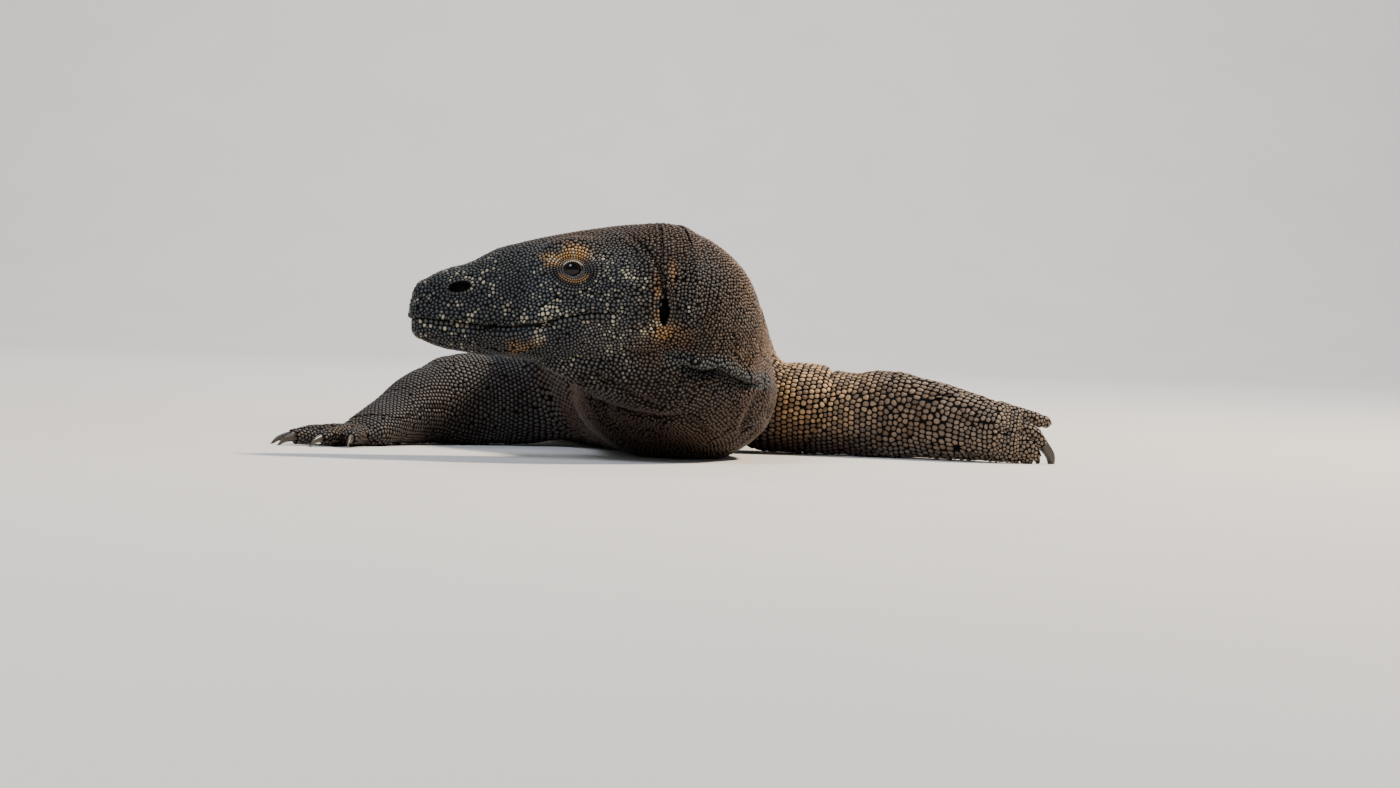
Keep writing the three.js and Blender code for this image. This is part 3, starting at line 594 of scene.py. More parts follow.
def face_relief(p):
    """Outward height, in millimetres, of lids, lips, nostrils, ears and creases of the head."""
    back, side, z = head_place(p)
    out = np.abs(side)
    flank = ramp(14, 24, out)
    eye, lids = eye_ring(back, z), eye_opening(back, z)
    lower = ramp(EYE["z"] + 4, EYE["z"] - 6, z)
    upper = 1 - lower
    lift = (1.1 + 0.7 * upper) * bump(eye - 6.8, 1.6) - 7.5 * (1 - ramp(0.82, 1.10, lids))
    lift += upper * (2.4 * bump(eye - 13.5, 4.2) - 0.9 * bump(eye - 9.4, 0.8))
    lift += lower * (1.0 * bump(eye - 9.4, 1.6) - 0.9 * bump(eye - 11.8, 0.8) + 0.5 * bump(eye - 13.2, 0.8))
    lift += lower * (0.5 * bump(eye - 15.8, 0.9) - 0.7 * bump(eye - 14.5, 0.8) - 0.5 * bump(eye - 17.2, 0.9))
    corner = back - EYE["back"] + 0.25 * (z - EYE["z"])
    folds = bump(corner - 13, 0.9) + bump(corner - 16.5, 0.9) + bump(corner + 14, 1.0)
    lift -= 0.8 * folds * bump(z - EYE["z"], 9)
    nose = nostril_ring(back, z)
    lift += 1.3 * bump(nose - 1.35, 0.3) - 6.5 * (1 - ramp(0.72, 1.08, nose))
    lift = lift * flank
    mouth = above_mouth(back, z)
    behind = 1 - ramp(JAW_CORNER - 14, JAW_CORNER + 4, back)
    lips = 1.1 * bump(mouth - 3.4, 2.8) + 0.3 * bump(mouth + 4.4, 2.6) - 2.8 * bump(mouth + 0.3, 0.95)
    lift += behind * lips
    # the gums' upper edge and the furrow along the lower jaw
    lift -= 0.9 * bump(mouth - 13 - 1.5 * np.sin(back / 17), 2.0) * ramp(50, 80, back) * behind * flank
    u, v = behind_ear(back, side), z - EAR_Z
    slot = ear_slot(u, v)
    lift += flank * (2.4 * bump(slot - 1.5, 0.45) * (u < 2) - 9.0 * (1 - ramp(0.70, 1.08, slot)))
    crease, _, _ = line_distance(u, z, TEMPLE_CREASE)
    lift -= flank * 2.4 * bump(crease, 1.8) * ramp(126, 136, z) * ramp(190, 168, z)
    lift += flank * 1.2 * bump(crease - 5, 3.0) * (u < -3) * ramp(125, 140, z) * ramp(192, 176, z)
    # the muscle behind the eye and the hollow before it
    lift += flank * 2.2 * bump(back - 165, 14) * bump(z - 150, 12)
    lift -= flank * 1.8 * bump(back - 100, 11) * bump(z - 150, 8)
    return lift


def relief(p):
    """Outward height of every detail that isn't in the forms, in metres."""
    lift = np.zeros(len(p))
    head = p[:, 1] < HEAD_FRONT
    if head.any():
        q = p[head]
        inside = ramp(-0.07, -0.09, q[:, 0] - 0.135) * (q[:, 1] < 0)
        lift[head] += face_relief(q) * inside
    throat = (p[:, 1] < FOLD_DEPTH_Y) & (p[:, 2] < 0.12)
    if throat.any():
        q = p[throat] / MM
        height, _ = fold_profile(q[:, 0], q[:, 2])
        lift[throat] += height * ramp(-150, -190, q[:, 1])
    # the nape falls away a little behind the crown
    nape = (p[:, 1] < -0.08) & (p[:, 2] > 0.14)
    if nape.any():
        q = p[nape] / MM
        lift[nape] -= 4.2 * bump(q[:, 0] - 40, 30) * ramp(150, 176, q[:, 2]) * ramp(-80, -150, q[:, 1])
    # the crease between the left shoulder's bulge and the arm
    arm = (p[:, 0] > 0.12) & (p[:, 0] < 0.18) & (p[:, 1] < 0.03)
    if arm.any():
        q = p[arm] / MM
        _, d, _ = line_distance(q[:, 0], q[:, 2], ARM_CREASE)
        lift[arm] += (1.6 * bump(d - 6, 6) - 3.2 * bump(d, 3.4)) * ramp(30, 0, q[:, 1])
    q = p / MM
    loose = ramp(0, -160, q[:, 1]) * ramp(155, 105, q[:, 2])
    lift += loose * 2.0 * (noise(p, 0.030, 3) - 0.5) + 1.0 * (noise(p, 0.014, 5) - 0.5) * (0.5 + loose)
    # creases of loose hide: thin valleys where a stretched noise crosses its middle
    sag = p * [0.55, 1.0, 1.25] + 0.010 * noise(p, 0.050, 6)[:, None]
    crease = 1 - np.abs(2 * noise(sag, 0.026, 7) - 1)
    lift -= (0.25 + 1.5 * loose) * ramp(0.86, 1.0, crease) * ramp(172, 160, q[:, 2])
    return lift * MM


SOLE = 1.0  # height of the skin's flat underside over the floor; scales fill it
SOLE_ROUND = 1.5  # how roundly the sides turn into it


def skin(p):
    """Distance to the bare skin, which lies inside the full outline by the coat and stops at the floor."""
    d = flesh(p) + COAT * MM - relief(p)
    return -soft_min(-d, p[:, 2] - SOLE * MM, SOLE_ROUND * MM)


# Corners of a small tetrahedron, PROBE from its middle each way: four values of the surface give its slope.
CORNERS = np.array([(1, -1, -1), (-1, -1, 1), (-1, 1, -1), (1, 1, 1)], float)
PROBE = 0.0004


def settle(p, surface, rounds, most=0.004):
    """Moves points down the slope onto surface = 0 and returns them with their outward directions."""
    for _ in range(rounds):
        values = [surface(p + PROBE * corner) for corner in CORNERS]
        slope = sum(v[:, None] * corner for v, corner in zip(values, CORNERS)) / (4 * PROBE)
        value = sum(values) / 4
        move = np.clip(value / np.maximum((slope**2).sum(1), 0.05), -most, most)
        p = p - move[:, None] * slope
    return p, unit(slope)


# ------------------------------------------------------------------ the skin's mesh

SHELL_STEP = 0.008  # spacing of each form's own rings before they are joined
SHELL_AROUND = 40
VOXEL = 0.0056
BOW = 0.00022  # how far an edge may cut under the surface before it is split
SHORTEST = 0.0021  # no edge under this is split for its bow
BODY_EDGE, HEAD_EDGE, FACE_EDGE = 0.012, 0.0050, 0.0017


def mesh_arrays(mesh):
    """Vertices and triangles of a mesh as arrays."""
    verts = np.zeros(len(mesh.vertices) * 3)
    mesh.vertices.foreach_get("co", verts)
    mesh.calc_loop_triangles()
    tris = np.zeros(len(mesh.loop_triangles) * 3, np.int32)
    mesh.loop_triangles.foreach_get("vertices", tris)
    return verts.reshape(-1, 3), tris.reshape(-1, 3)


def joined_shells():
    """All the forms' closed surfaces, made one by a voxel remesh."""
    verts, faces, start = [], [], 0
    for form in FORMS:
        v, f = form.shell(SHELL_STEP, SHELL_AROUND)
        verts.append(v)
        faces += [[i + start for i in face] for face in f]
        start += len(v)
    mesh = bpy.data.meshes.new("flesh")
    mesh.from_pydata(np.vstack(verts).tolist(), [], faces)
    flesh_object = bpy.data.objects.new("flesh", mesh)
    bpy.context.scene.collection.objects.link(flesh_object)
    remesh = flesh_object.modifiers.new("one body", "REMESH")
    remesh.mode = "VOXEL"
    remesh.voxel_size = VOXEL
    graph = bpy.context.evaluated_depsgraph_get()
    found = mesh_arrays(flesh_object.evaluated_get(graph).to_mesh())
    bpy.data.objects.remove(flesh_object)
    bpy.data.meshes.remove(mesh)
    return found


def refine(verts, tris, normals, longest):
    """Splits at its middle every edge longer than longest(middle), or whose bow is more than BOW.

    The bow of an edge between surface points is about its length times the angle between their normals / 8.
    A triangle becomes 2, 3 or 4.
    """
    edges = np.sort(tris[:, [[0, 1], [1, 2], [2, 0]]].reshape(-1, 2), axis=1)
    edges, which = np.unique(edges, axis=0, return_inverse=True)
    ends = verts[edges]
    long = np.linalg.norm(ends[:, 0] - ends[:, 1], axis=1)
    angle = np.arccos(dot(normals[edges[:, 0]], normals[edges[:, 1]]).clip(-1, 1))
    middle = ends.mean(1)
    split = (long > longest(middle)) | ((long * angle / 8 > BOW) & (long > SHORTEST))
    number = np.full(len(edges), -1)
    number[split] = len(verts) + np.arange(split.sum())
    mid = number[which.reshape(-1)].reshape(-1, 3)
    marks = mid >= 0
    total = marks.sum(1)
    # turn each triangle so that a lone split edge comes first, or a lone whole edge last
    turn = np.where(total == 1, marks.argmax(1), np.where(total == 2, (~marks).argmax(1) + 1, 0)) % 3
    order = (np.arange(3) + turn[:, None]) % 3
    a, b, c = np.take_along_axis(tris, order, 1).T
    m, n, o = np.take_along_axis(mid, order, 1).T
    patterns = {
        0: [(a, b, c)],
        1: [(a, m, c), (m, b, c)],
        2: [(m, b, n), (a, m, n), (a, n, c)],
        3: [(a, m, o), (m, b, n), (n, c, o), (m, n, o)],
    }
    made = [np.stack(t, -1)[total == count] for count, list_ in patterns.items() for t in list_]
    return np.vstack([verts, middle[split]]), np.vstack(made)


def skin_edge(p):
    """Longest edge the skin may have at a place: fine round the eyes, nostrils, lips and ears."""
    back, side, z = head_place(p)
    limit = np.full(len(p), BODY_EDGE)
    on_head = (p[:, 1] < HEAD_FRONT) & (back > -20) & (back < 225)
    limit[on_head] = HEAD_EDGE
    near = on_head & (np.abs(side) > 14) & (eye_ring(back, z) < 18)
    near |= on_head & (nostril_ring(back, z) < 2.2) & (np.abs(side) > 10)
    near |= on_head & (np.abs(behind_ear(back, side)) < 10) & (np.abs(z - EAR_Z) < 20) & (np.abs(side) > 25)
    mouth = above_mouth(back, z)
    near |= on_head & (np.abs(mouth) < 5) & (back < JAW_CORNER + 6)
    limit[near] = FACE_EDGE
    return limit


def relax(verts, tris, weight=0.5):
    """Moves each vertex towards the mean of its neighbours."""
    ends = np.concatenate([tris[:, [0, 1]], tris[:, [1, 2]], tris[:, [2, 0]]])
    total = np.zeros_like(verts)
    for axis in range(3):
        total[:, axis] = np.bincount(ends[:, 0], verts[ends[:, 1], axis], len(verts))
    count = np.bincount(ends[:, 0], minlength=len(verts))[:, None]
    return verts * (1 - weight) + weight * total / np.maximum(count, 1)


def skin_mesh():
    """The remeshed forms, settled on the skin's surface, refined where it is finely shaped, settled again."""
    verts, tris = joined_shells()
    verts, normals = settle(verts, skin, 2)
    for _ in range(3):
        verts, tris = refine(verts, tris, normals, skin_edge)
        verts, normals = settle(relax(verts, tris, 0.35), skin, 1)
    verts, _ = settle(relax(verts, tris, 0.3), skin, 3)
    verts[:, 2] = np.maximum(verts[:, 2], 0.0)
    return verts, tris


# ------------------------------------------------------------------ where the scales grow


def pitch_table(form):
    """Scale spacing along and across a form at each stored sample, in metres."""
    if len(form.pitch) == 2 and np.ndim(form.pitch[0]) == 0:
        ends = np.array(form.pitch, float)
        long = np.linspace(ends[0], ends[1], form.count)
        return np.stack([long, long], -1) * MM
    rows = np.array(form.pitch, float)
    at = form.t * form.stations
    return np.stack([np.interp(at, rows[:, 0], rows[:, 1]), np.interp(at, rows[:, 0], rows[:, 2])], -1) * MM


BANDED = ("left_arm_lower",)  # scales in straight bands, not staggered
LATTICE_RANK, FACE_RANK = 50.0, 60.0  # where two roots crowd, the higher rank stays
RANK_SPREAD = 3.0
CROWDING = 0.74  # the least gap between two roots, as a share of their scales' mean size
FILL_CROWDING = 0.80  # the same for those that fill the gaps
BODY_JITTER, NECK_JITTER = 0.08, 0.15  # as shares of a scale's smaller side
NECK_Y = -0.18  # the head and the front of the neck lie in front of this plane, metres
LEVEL = ("skull", "jaw")  # scales in rows along the form, each starting at a place of its own


def lattice(form):
    """Staggered rows of places over a form, counted along its spine and by arc from the middle of the back.

    Returns the points, their places on the form and the number of each one's row, counted round the form.
    """
    spacing = pitch_table(form)
    rows_before = np.concatenate([[0], np.cumsum(form.step / spacing[1:, 0])])
    body = np.interp(np.arange(0.5, rows_before[-1]), rows_before, np.arange(form.count))
    rows = [(place, 1.0, 0.0) for place in body]
    for end, sign in ((0, -1), (form.count - 1, 1)):
        dome = form.domes[0 if sign < 0 else 1]
        tall = form.size[end, :3].mean()
        turns = int(math.pi / 4 * (dome + tall) / spacing[end, 0])
        for a in (np.arange(turns) + 0.7) / max(turns, 1) * math.pi / 2:
            rows.append((end, math.sin(a), sign * dome * math.cos(a)))
    angle = np.linspace(math.pi / 2, -math.pi / 2, 61)
    points, places, numbers = [], [], []
    for number, (place, scale, offset) in enumerate(rows):
        half = form.ring(place, angle, scale, offset)
        arc = np.concatenate([[0], np.cumsum(np.linalg.norm(np.diff(half, axis=0), axis=1))])
        across = np.interp(place, np.arange(form.count), spacing[:, 1])
        shift = 0.5 if number % 2 and form.name not in BANDED + LEVEL else 0.0
        steps = (np.arange(int(arc[-1] / across) + 1) + shift) * across
        steps = steps[steps < arc[-1]]
        there = np.interp(steps, arc, angle)
        mirrored = math.pi - there[steps > 0]
        points.append(form.ring(place, np.concatenate([there, mirrored]), scale, offset))
        sides = np.concatenate([steps, -steps[steps > 0]]) / max(arc[-1], 1e-6)
        places.append(np.stack([np.full(len(sides), place / (form.count - 1)), sides], -1))
        numbers.append(np.round(sides * arc[-1] / across).astype(int))
    return np.vstack(points), np.vstack(places), np.concatenate(numbers)


def cast(back, z, side):
    """Places on the side of the head: from outside, steps of the surface's own distance walk inwards."""
    p = np.array([head_point(b, side * 75, h) for b, h in zip(back, z)])
    for _ in range(40):
        p = p - (skin(p) * 0.8 * side)[:, None] * LEFTWARD
    return p


def face_rows():
    """Rows of scales with places of their own: round the eyes, nostrils and ears, and along the lips.

    A ring's row runs at even angles round an ellipse, turned by its tip; the lips' rows follow the mouth.
    """
    rows = []

    def ellipse(middle, wide, high, pitch, tip=0.0):
        count = int(2 * math.pi * math.sqrt((wide**2 + high**2) / 2) / pitch)
        a = np.arange(count) / count * 2 * math.pi
        u, v = wide * np.cos(a), high * np.sin(a)
        tip = math.radians(tip)
        back = middle[0] + u * math.cos(tip) + v * math.sin(tip)
        return back, middle[1] - u * math.sin(tip) + v * math.cos(tip)

    for side in (1, -1):
        for ring, pitch in ((6.8, 1.5), (8.3, 1.6), (9.9, 1.8), (11.7, 2.0), (13.7, 2.2), (15.9, 2.4)):
            back, z = ellipse((EYE["back"], EYE["z"]), EYE_LONG * ring, ring, pitch, EYE_TIP)
            rows.append((cast(back, z, side), pitch))
        for ring in (1.42, 1.95):
            long, high = NOSTRIL_LONG * ring, NOSTRIL_HIGH * ring + 0.6
            back, z = ellipse(NOSTRIL, long, high, 2.6, -NOSTRIL_TIP)
            rows.append((cast(back, z, side), 2.6))
        ear = EAR_BACK[side]
        for ring in (1.35, 1.85):
            back, z = ellipse((ear, EAR_Z), 4.2 * ring + 0.4, 13.8 * ring ** 0.5 + 0.8, 2.6)
            rows.append((cast(back, z, side), 2.6))
        for offset, pitch in ((2.7, 4.3), (6.6, 4.0), (-2.7, 4.1), (-6.4, 3.8)):
            back = np.arange(8, JAW_CORNER - 4, pitch)
            back = back + RANDOM.normal(0, 0.12 * pitch, len(back))
            z = np.interp(back, MOUTH_BACK, MOUTH_Z) + offset + RANDOM.normal(0, 0.25, len(back))
            rows.append((cast(back, z, side), pitch))
    return rows


def close_pairs(p, reach):
    """Every ordered pair of points closer than reach: points are filed by cubic cell, cells by number."""
    cell = np.floor((p - p.min(0)) / reach).astype(np.int64) + 1
    span = cell.max(0) + 3
    key = (cell[:, 0] * span[1] + cell[:, 1]) * span[2] + cell[:, 2]
    order = np.argsort(key, kind="stable")
    filed = key[order]
    firsts, seconds = [], []
    for step in np.ndindex(3, 3, 3):
        other = key + ((step[0] - 1) * span[1] + step[1] - 1) * span[2] + step[2] - 1
        low, high = np.searchsorted(filed, other), np.searchsorted(filed, other, side="right")
        count = high - low
        first = np.repeat(np.arange(len(p)), count)
        within = np.arange(len(first)) - np.repeat(np.cumsum(count) - count, count)
        second = order[np.repeat(low, count) + within]
        near = (first != second) & (((p[first] - p[second]) ** 2).sum(1) < reach**2)
        firsts.append(first[near])
        seconds.append(second[near])
    return np.concatenate(firsts), np.concatenate(seconds)


def keep_apart(p, size, rank):
    """Which points stay when one of lower rank goes wherever two lie closer than their mean size."""
    a, b = close_pairs(p, size.max())
    gap = np.linalg.norm(p[a] - p[b], axis=1)
    clash = (gap < 0.5 * (size[a] + size[b])) & (rank[a] > rank[b])
    better, worse = a[clash], b[clash]
    state = np.zeros(len(p), int)  # 0 open, 1 kept, -1 dropped
    while (state == 0).any():
        open_ = state[better] == 0
        blocked = np.zeros(len(p), bool)
        blocked[worse[open_]] = True
        state[(state == 0) & ~blocked] = 1
        lost = worse[state[better] == 1]
        state[lost] = -1
        live = state[worse] == 0
        better, worse = better[live], worse[live]
    return state == 1


def on_form(p, form):
    """Fraction along a form's spine and signed fraction of the way round from the middle of the back."""
    inside, _, x, y = form.section(p)
    return inside / (form.count - 1), np.arctan2(x, y) / math.pi


def bare(p, normal):
    """Places where nothing grows: the eyes, the nostrils, the ears, the lips' edge and the soles."""
    back, side, z = head_place(p)
    out = np.abs(side) > 12
    head = (p[:, 1] < HEAD_FRONT) & (back < 225)
    slot = ear_slot(behind_ear(back, side), z - EAR_Z)
    mouth = above_mouth(back, z)
    none = out & ((eye_opening(back, z) < 1.12) | (nostril_ring(back, z) < 1.10) | (slot < 1.06))
    none |= (np.abs(mouth) < 1.0) & (back < JAW_CORNER - 8)
    return (head & none) | ((p[:, 2] < 2.2 * MM) & (normal[:, 2] < -0.7))


def coarseness(p, body):
    """How much larger the scales are than their lattice: rough grains over the nape and the neck's top."""
    nape = ramp(0.128, 0.165, p[:, 2]) * ramp(-0.02, -0.12, p[:, 1]) * body
    return 1 + 0.15 * nape


def join(parts):
    """Sets of seeds laid end to end, with the values that the last one has."""
    return {key: np.concatenate([part[key] for part in parts]) for key in parts[-1]}


def pick(seeds, chosen):
    """The chosen ones out of a set of seeds."""
    return {key: value[chosen] for key, value in seeds.items()}


def lattice_seeds():
    """Every form's own lattice, a little jittered; rows of the LEVEL forms also slip along the form."""
    parts = []
    for i, form in enumerate(FORMS):
        if not isinstance(form, Form):
            continue
        p, place, row = lattice(form)
        spacing = pitch_table(form)
        at = place[:, 0] * (form.count - 1)
        long = np.interp(at, np.arange(form.count), spacing[:, 0])
        wide = np.interp(at, np.arange(form.count), spacing[:, 1])
        jitter = np.where(p[:, 1] < NECK_Y, NECK_JITTER, BODY_JITTER)
        p = p + RANDOM.normal(0, 1, p.shape) * (jitter * np.minimum(long, wide))[:, None]
        if form.name in LEVEL:
            slip = RANDOM.random(400)[row % 400] - 0.5
            p = p + form.at(form.along, at) * (slip * long)[:, None]
        parts.append({
            "root": p, "owner": np.full(len(p), i), "place": place, "size": np.sqrt(long * wide),
            "aspect": long / wide, "rank": np.full(len(p), LATTICE_RANK - i),
        })
    return join(parts)


def outermost(seeds):
    """Which roots lie where their own form is the outermost, or nearly so, and not deep in the flesh.

    Nearly is 0.6 to 3 scales, a random number for each root, so that the rows of two forms meet raggedly.
    """
    p, size = seeds["root"], seeds["size"]
    mine = np.zeros(len(p))
    best = np.full(len(p), FAR)
    for i, form in enumerate(FORMS):
        near = form.holds(p)
        d = np.full(len(p), FAR)
        d[near] = form.distance(p[near])
        mine = np.where(seeds["owner"] == i, d, mine)
        best = np.minimum(best, d)
    slack = 0.6 + 2.4 * RANDOM.random(len(p)) ** 2
    return (mine < best + slack * size) & (flesh(p) > -1.1 * size - 0.002)


def plant():
    """The roots of the forms' lattices and the face's rows, settled on the skin, one of each crowded pair."""
    seeds = lattice_seeds()
    seeds = pick(seeds, outermost(seeds))
    skull = FORM_NAMES.tolist().index("skull")
    for p, pitch in face_rows():
        u, v = on_form(p, FORMS[skull])
        seeds = join([seeds, {
            "root": p, "owner": np.full(len(p), skull), "place": np.stack([u, v], -1),
            "size": np.full(len(p), pitch * MM), "aspect": np.ones(len(p)),
            "rank": np.full(len(p), FACE_RANK),
        }])
    start = seeds["root"]
    seeds["root"], seeds["normal"] = settle(start, skin, 3)
    seeds["size"] = seeds["size"] * coarseness(seeds["root"], FORM_NAMES[seeds["owner"]] == "body")
    strayed = np.linalg.norm(seeds["root"] - start, axis=1) > 2.0 * seeds["size"] + 0.004
    good = ~strayed & ~bare(seeds["root"], seeds["normal"]) & (np.abs(skin(seeds["root"])) < 0.0006)
    seeds["rank"] = seeds["rank"] + RANDOM.random(len(good)) * RANK_SPREAD
    seeds = pick(seeds, good)
    seeds = pick(seeds, keep_apart(seeds["root"], seeds["size"] * CROWDING, seeds["rank"]))
    del seeds["rank"]
    return seeds


def sprinkle(verts, tris, count):
    """Random places on the skin, count in each triangle: a + u (b - a) + v (c - a) with u + v < 1."""
    number = RANDOM.poisson(count)
    chosen = np.repeat(np.arange(len(tris)), number)
    a, b, c = verts[tris[chosen]].transpose(1, 0, 2)
    u, v = RANDOM.random((2, len(chosen), 1))
    over = u + v > 1
    u, v = np.where(over, 1 - u, u), np.where(over, 1 - v, v)
    return a + u * (b - a) + v * (c - a)


def nearest_form(p):
    """Seeds at the points: each one's own form, its place on it and the scales' size and length to width."""
    owner = np.zeros(len(p), int)
    best = np.full(len(p), FAR)
    for i, form in enumerate(FORMS):
        near = form.holds(p)
        if isinstance(form, Form) and near.any():
            d = np.full(len(p), FAR)
            d[near] = form.distance(p[near])
            owner = np.where(d < best, i, owner)
            best = np.minimum(best, d)
    size, aspect = np.full(len(p), 0.005), np.ones(len(p))
    place = np.zeros((len(p), 2))
    for i in np.unique(owner):
        own, form = owner == i, FORMS[i]
        u, v = on_form(p[own], form)
        place[own] = np.stack([u, v], -1)
        spacing = pitch_table(form)
        grid = np.arange(form.count) / (form.count - 1)
        long, wide = np.interp(u, grid, spacing[:, 0]), np.interp(u, grid, spacing[:, 1])
        size[own], aspect[own] = np.sqrt(long * wide), long / wide
    return {"root": p, "owner": owner, "place": place, "size": size, "aspect": aspect}


def fill_gaps(seeds, verts, tris):
    """Adds roots, out of places sprinkled all over the skin, wherever no root is within a scale's size."""
    size = nearest_form(verts[tris].mean(1))["size"]
    a, b, c = verts[tris].transpose(1, 0, 2)
    area = np.linalg.norm(np.cross(b - a, c - a), axis=1) / 2
    new = nearest_form(sprinkle(verts, tris, 3.0 * area / size**2))
    old = len(seeds["root"])
    both = join([seeds, new])
    rank = np.concatenate([np.full(old, 2.0) + np.arange(old) * 1e-6, RANDOM.random(len(new["root"]))])
    kept = np.zeros(len(rank), bool)
    # fine and coarse scales are sorted out apart, so that each search stays short
    for low, high in ((0, 0.0042), (0.0036, 1)):
        some = np.flatnonzero((both["size"] >= low) & (both["size"] < high))
        kept[some] |= keep_apart(both["root"][some], both["size"][some] * FILL_CROWDING, rank[some])
    new = pick(new, kept[old:])
    new["root"], new["normal"] = settle(new["root"], skin, 2)
    return join([seeds, pick(new, ~bare(new["root"], new["normal"]))])


def spread(seeds, rounds):
    """Eases roots away from crowded neighbours along the skin: each pair closer than its mean size parts.

    The gap is measured with lengths along the scale divided by the root of its length-to-width ratio and
    lengths across it multiplied by the same, so long scales stay in long rows.
    """
    banded = np.isin(FORM_NAMES[seeds["owner"]], BANDED)
    for _ in range(rounds):
        seeds = scale_frames(seeds)
        p, size, stretch = seeds["root"], seeds["size"], np.sqrt(seeds["aspect"])
        a, b = close_pairs(p, size.max() * 1.1)
        away = p[a] - p[b]
        ahead = dot(away, seeds["along"][a]) / stretch[a]
        aside = dot(away, seeds["across"][a]) * stretch[a]
        gap = np.sqrt(ahead**2 + aside**2 + dot(away, seeds["normal"][a]) ** 2)
        wish = 0.5 * (size[a] + size[b])
        push = np.clip(wish - gap, 0, None) * 0.22 / np.maximum(gap, 1e-6)
        move = np.stack([np.bincount(a, push * away[:, k], len(p)) for k in range(3)], -1)
        move -= dot(move, seeds["normal"])[:, None] * seeds["normal"]
        limit = 0.25 * size / np.maximum(np.linalg.norm(move, axis=1), 1e-9)
        limit = np.where(banded, 0.0, limit)
        moved = p + move * np.minimum(limit, 1)[:, None]
        moved, normal = settle(moved, skin, 1)
        hold = bare(moved, normal)
        seeds["root"] = np.where(hold[:, None], p, moved)
        seeds["normal"] = np.where(hold[:, None], seeds["normal"], normal)
    return seeds


# ------------------------------------------------------------------ the scales themselves


def outlines(seeds, corners):
    """Radius of each scale towards each corner, and the turn of its corners.

    A neighbour at distance d in direction a bounds the scale by a straight line at its own share of d, about
    d/2, so the radius towards corner c is at most (d/2) / cos(c - a); the smallest over all the neighbours
    holds. The corners are turned to lie between the neighbours: turn = arg(sum of e^(i corners a)) / corners,
    and half a step more.
    """
    p, size = seeds["root"], seeds["size"]
    a, b = close_pairs(p, size.max() * 1.9)
    gap = np.linalg.norm(p[b] - p[a], axis=1)
    near = gap < 2.1 * np.maximum(size[a], size[b])
    a, b, gap = a[near], b[near], gap[near]
    to = p[b] - p[a]
    x, y = dot(to, seeds["along"][a]), dot(to, seeds["across"][a])
    direction = np.arctan2(y, x)
    weight = np.clip(1.6 - gap / np.maximum(size[a], size[b]), 0, None)
    east = np.bincount(a, weight * np.cos(corners * direction), len(p))
    north = np.bincount(a, weight * np.sin(corners * direction), len(p))
    turn = (np.arctan2(north, east) + math.pi) / corners
    share = size[a] / (size[a] + size[b])
    radius = np.zeros((len(p), corners))
    long = np.sqrt(seeds["aspect"])
    for c in range(corners):
        angle = turn + c * 2 * math.pi / corners
        facing = np.cos(direction - angle[a])
        bound = np.where(facing > 0.15, gap * share / np.maximum(facing, 0.15), 1.0)
        best = 0.74 * size * np.hypot(np.cos(angle) * long, np.sin(angle) / long)
        np.minimum.at(best, a, bound)
        radius[:, c] = best
    return radius, turn


def scale_frames(seeds):
    """Each scale's own directions: along its form towards the tail or toes, and across."""
    along = np.zeros_like(seeds["root"])
    for i in np.unique(seeds["owner"]):
        own = seeds["owner"] == i
        form = FORMS[i]
        along[own] = form.at(form.along, seeds["place"][own, 0].clip(0, 1) * (form.count - 1))
    along = along - dot(along, seeds["normal"])[:, None] * seeds["normal"]
    seeds["along"] = unit(along + 1e-6)
    seeds["across"] = unit(np.cross(seeds["normal"], seeds["along"]))
    return seeds


# Rings of a scale from its root up: radius as a share of the outline, height and paleness as shares of its
# middle's; paleness lifts the colour out of the near black foot, partly painted shade in the seams. The large
# scales have one ring more.
SMALL_SCALE = [(1.04, -0.60, 0.0), (0.74, 0.66, 0.52)]
LARGE_SCALE = [(1.03, -0.50, 0.0), (0.90, 0.42, 0.25), (0.70, 0.84, 0.80)]


def scale_mesh(seeds, radius, turn, height, tilt, profile):
    """Domes with a flat foot sunk in the skin: foot, shoulder and a middle point; the hind edge is raised.

    corner = root + outline radius x ring share x (cos a along + sin a across) + height x ring share x normal
    """
    count, corners = radius.shape
    angle = turn[:, None] + np.arange(corners) * 2 * math.pi / corners
    flat = np.cos(angle)[..., None] * seeds["along"][:, None]
    flat = flat + np.sin(angle)[..., None] * seeds["across"][:, None]
    rings = []
    for share, rise, _ in profile:
        lean = 1 + (tilt[:, None] * np.cos(angle) if rise > 0 else 0)
        up = (height[:, None] * rise * lean)[..., None] * seeds["normal"][:, None]
        rings.append(seeds["root"][:, None] + flat * (radius * share)[..., None] + up)
    middle_shift = (flat * radius[..., None]).mean(1) * 0.5
    middle_shift = middle_shift + seeds["along"] * (0.12 * seeds["size"] * tilt)[:, None]
    top = seeds["root"] + middle_shift + seeds["normal"] * height[:, None] * (1 + 0.25 * tilt[:, None])
    verts = np.concatenate([*rings, top[:, None]], axis=1).reshape(-1, 3)
    i = np.arange(corners)
    j = (i + 1) % corners
    one = [np.stack([np.zeros(corners - 2, int), i[2:], i[1:-1]], -1)]
    for low in range(0, (len(profile) - 1) * corners, corners):
        high = low + corners
        one.append(np.stack([low + i, low + j, high + j], -1))
        one.append(np.stack([low + i, high + j, high + i], -1))
    last = (len(profile) - 1) * corners
    one = np.concatenate([*one, np.stack([last + i, last + j, np.full(corners, last + corners)], -1)])
    tris = (one[None] + np.arange(count)[:, None, None] * (last + corners + 1)).reshape(-1, 3)
    return verts, tris


# ------------------------------------------------------------------ markings, the same on skin and scales


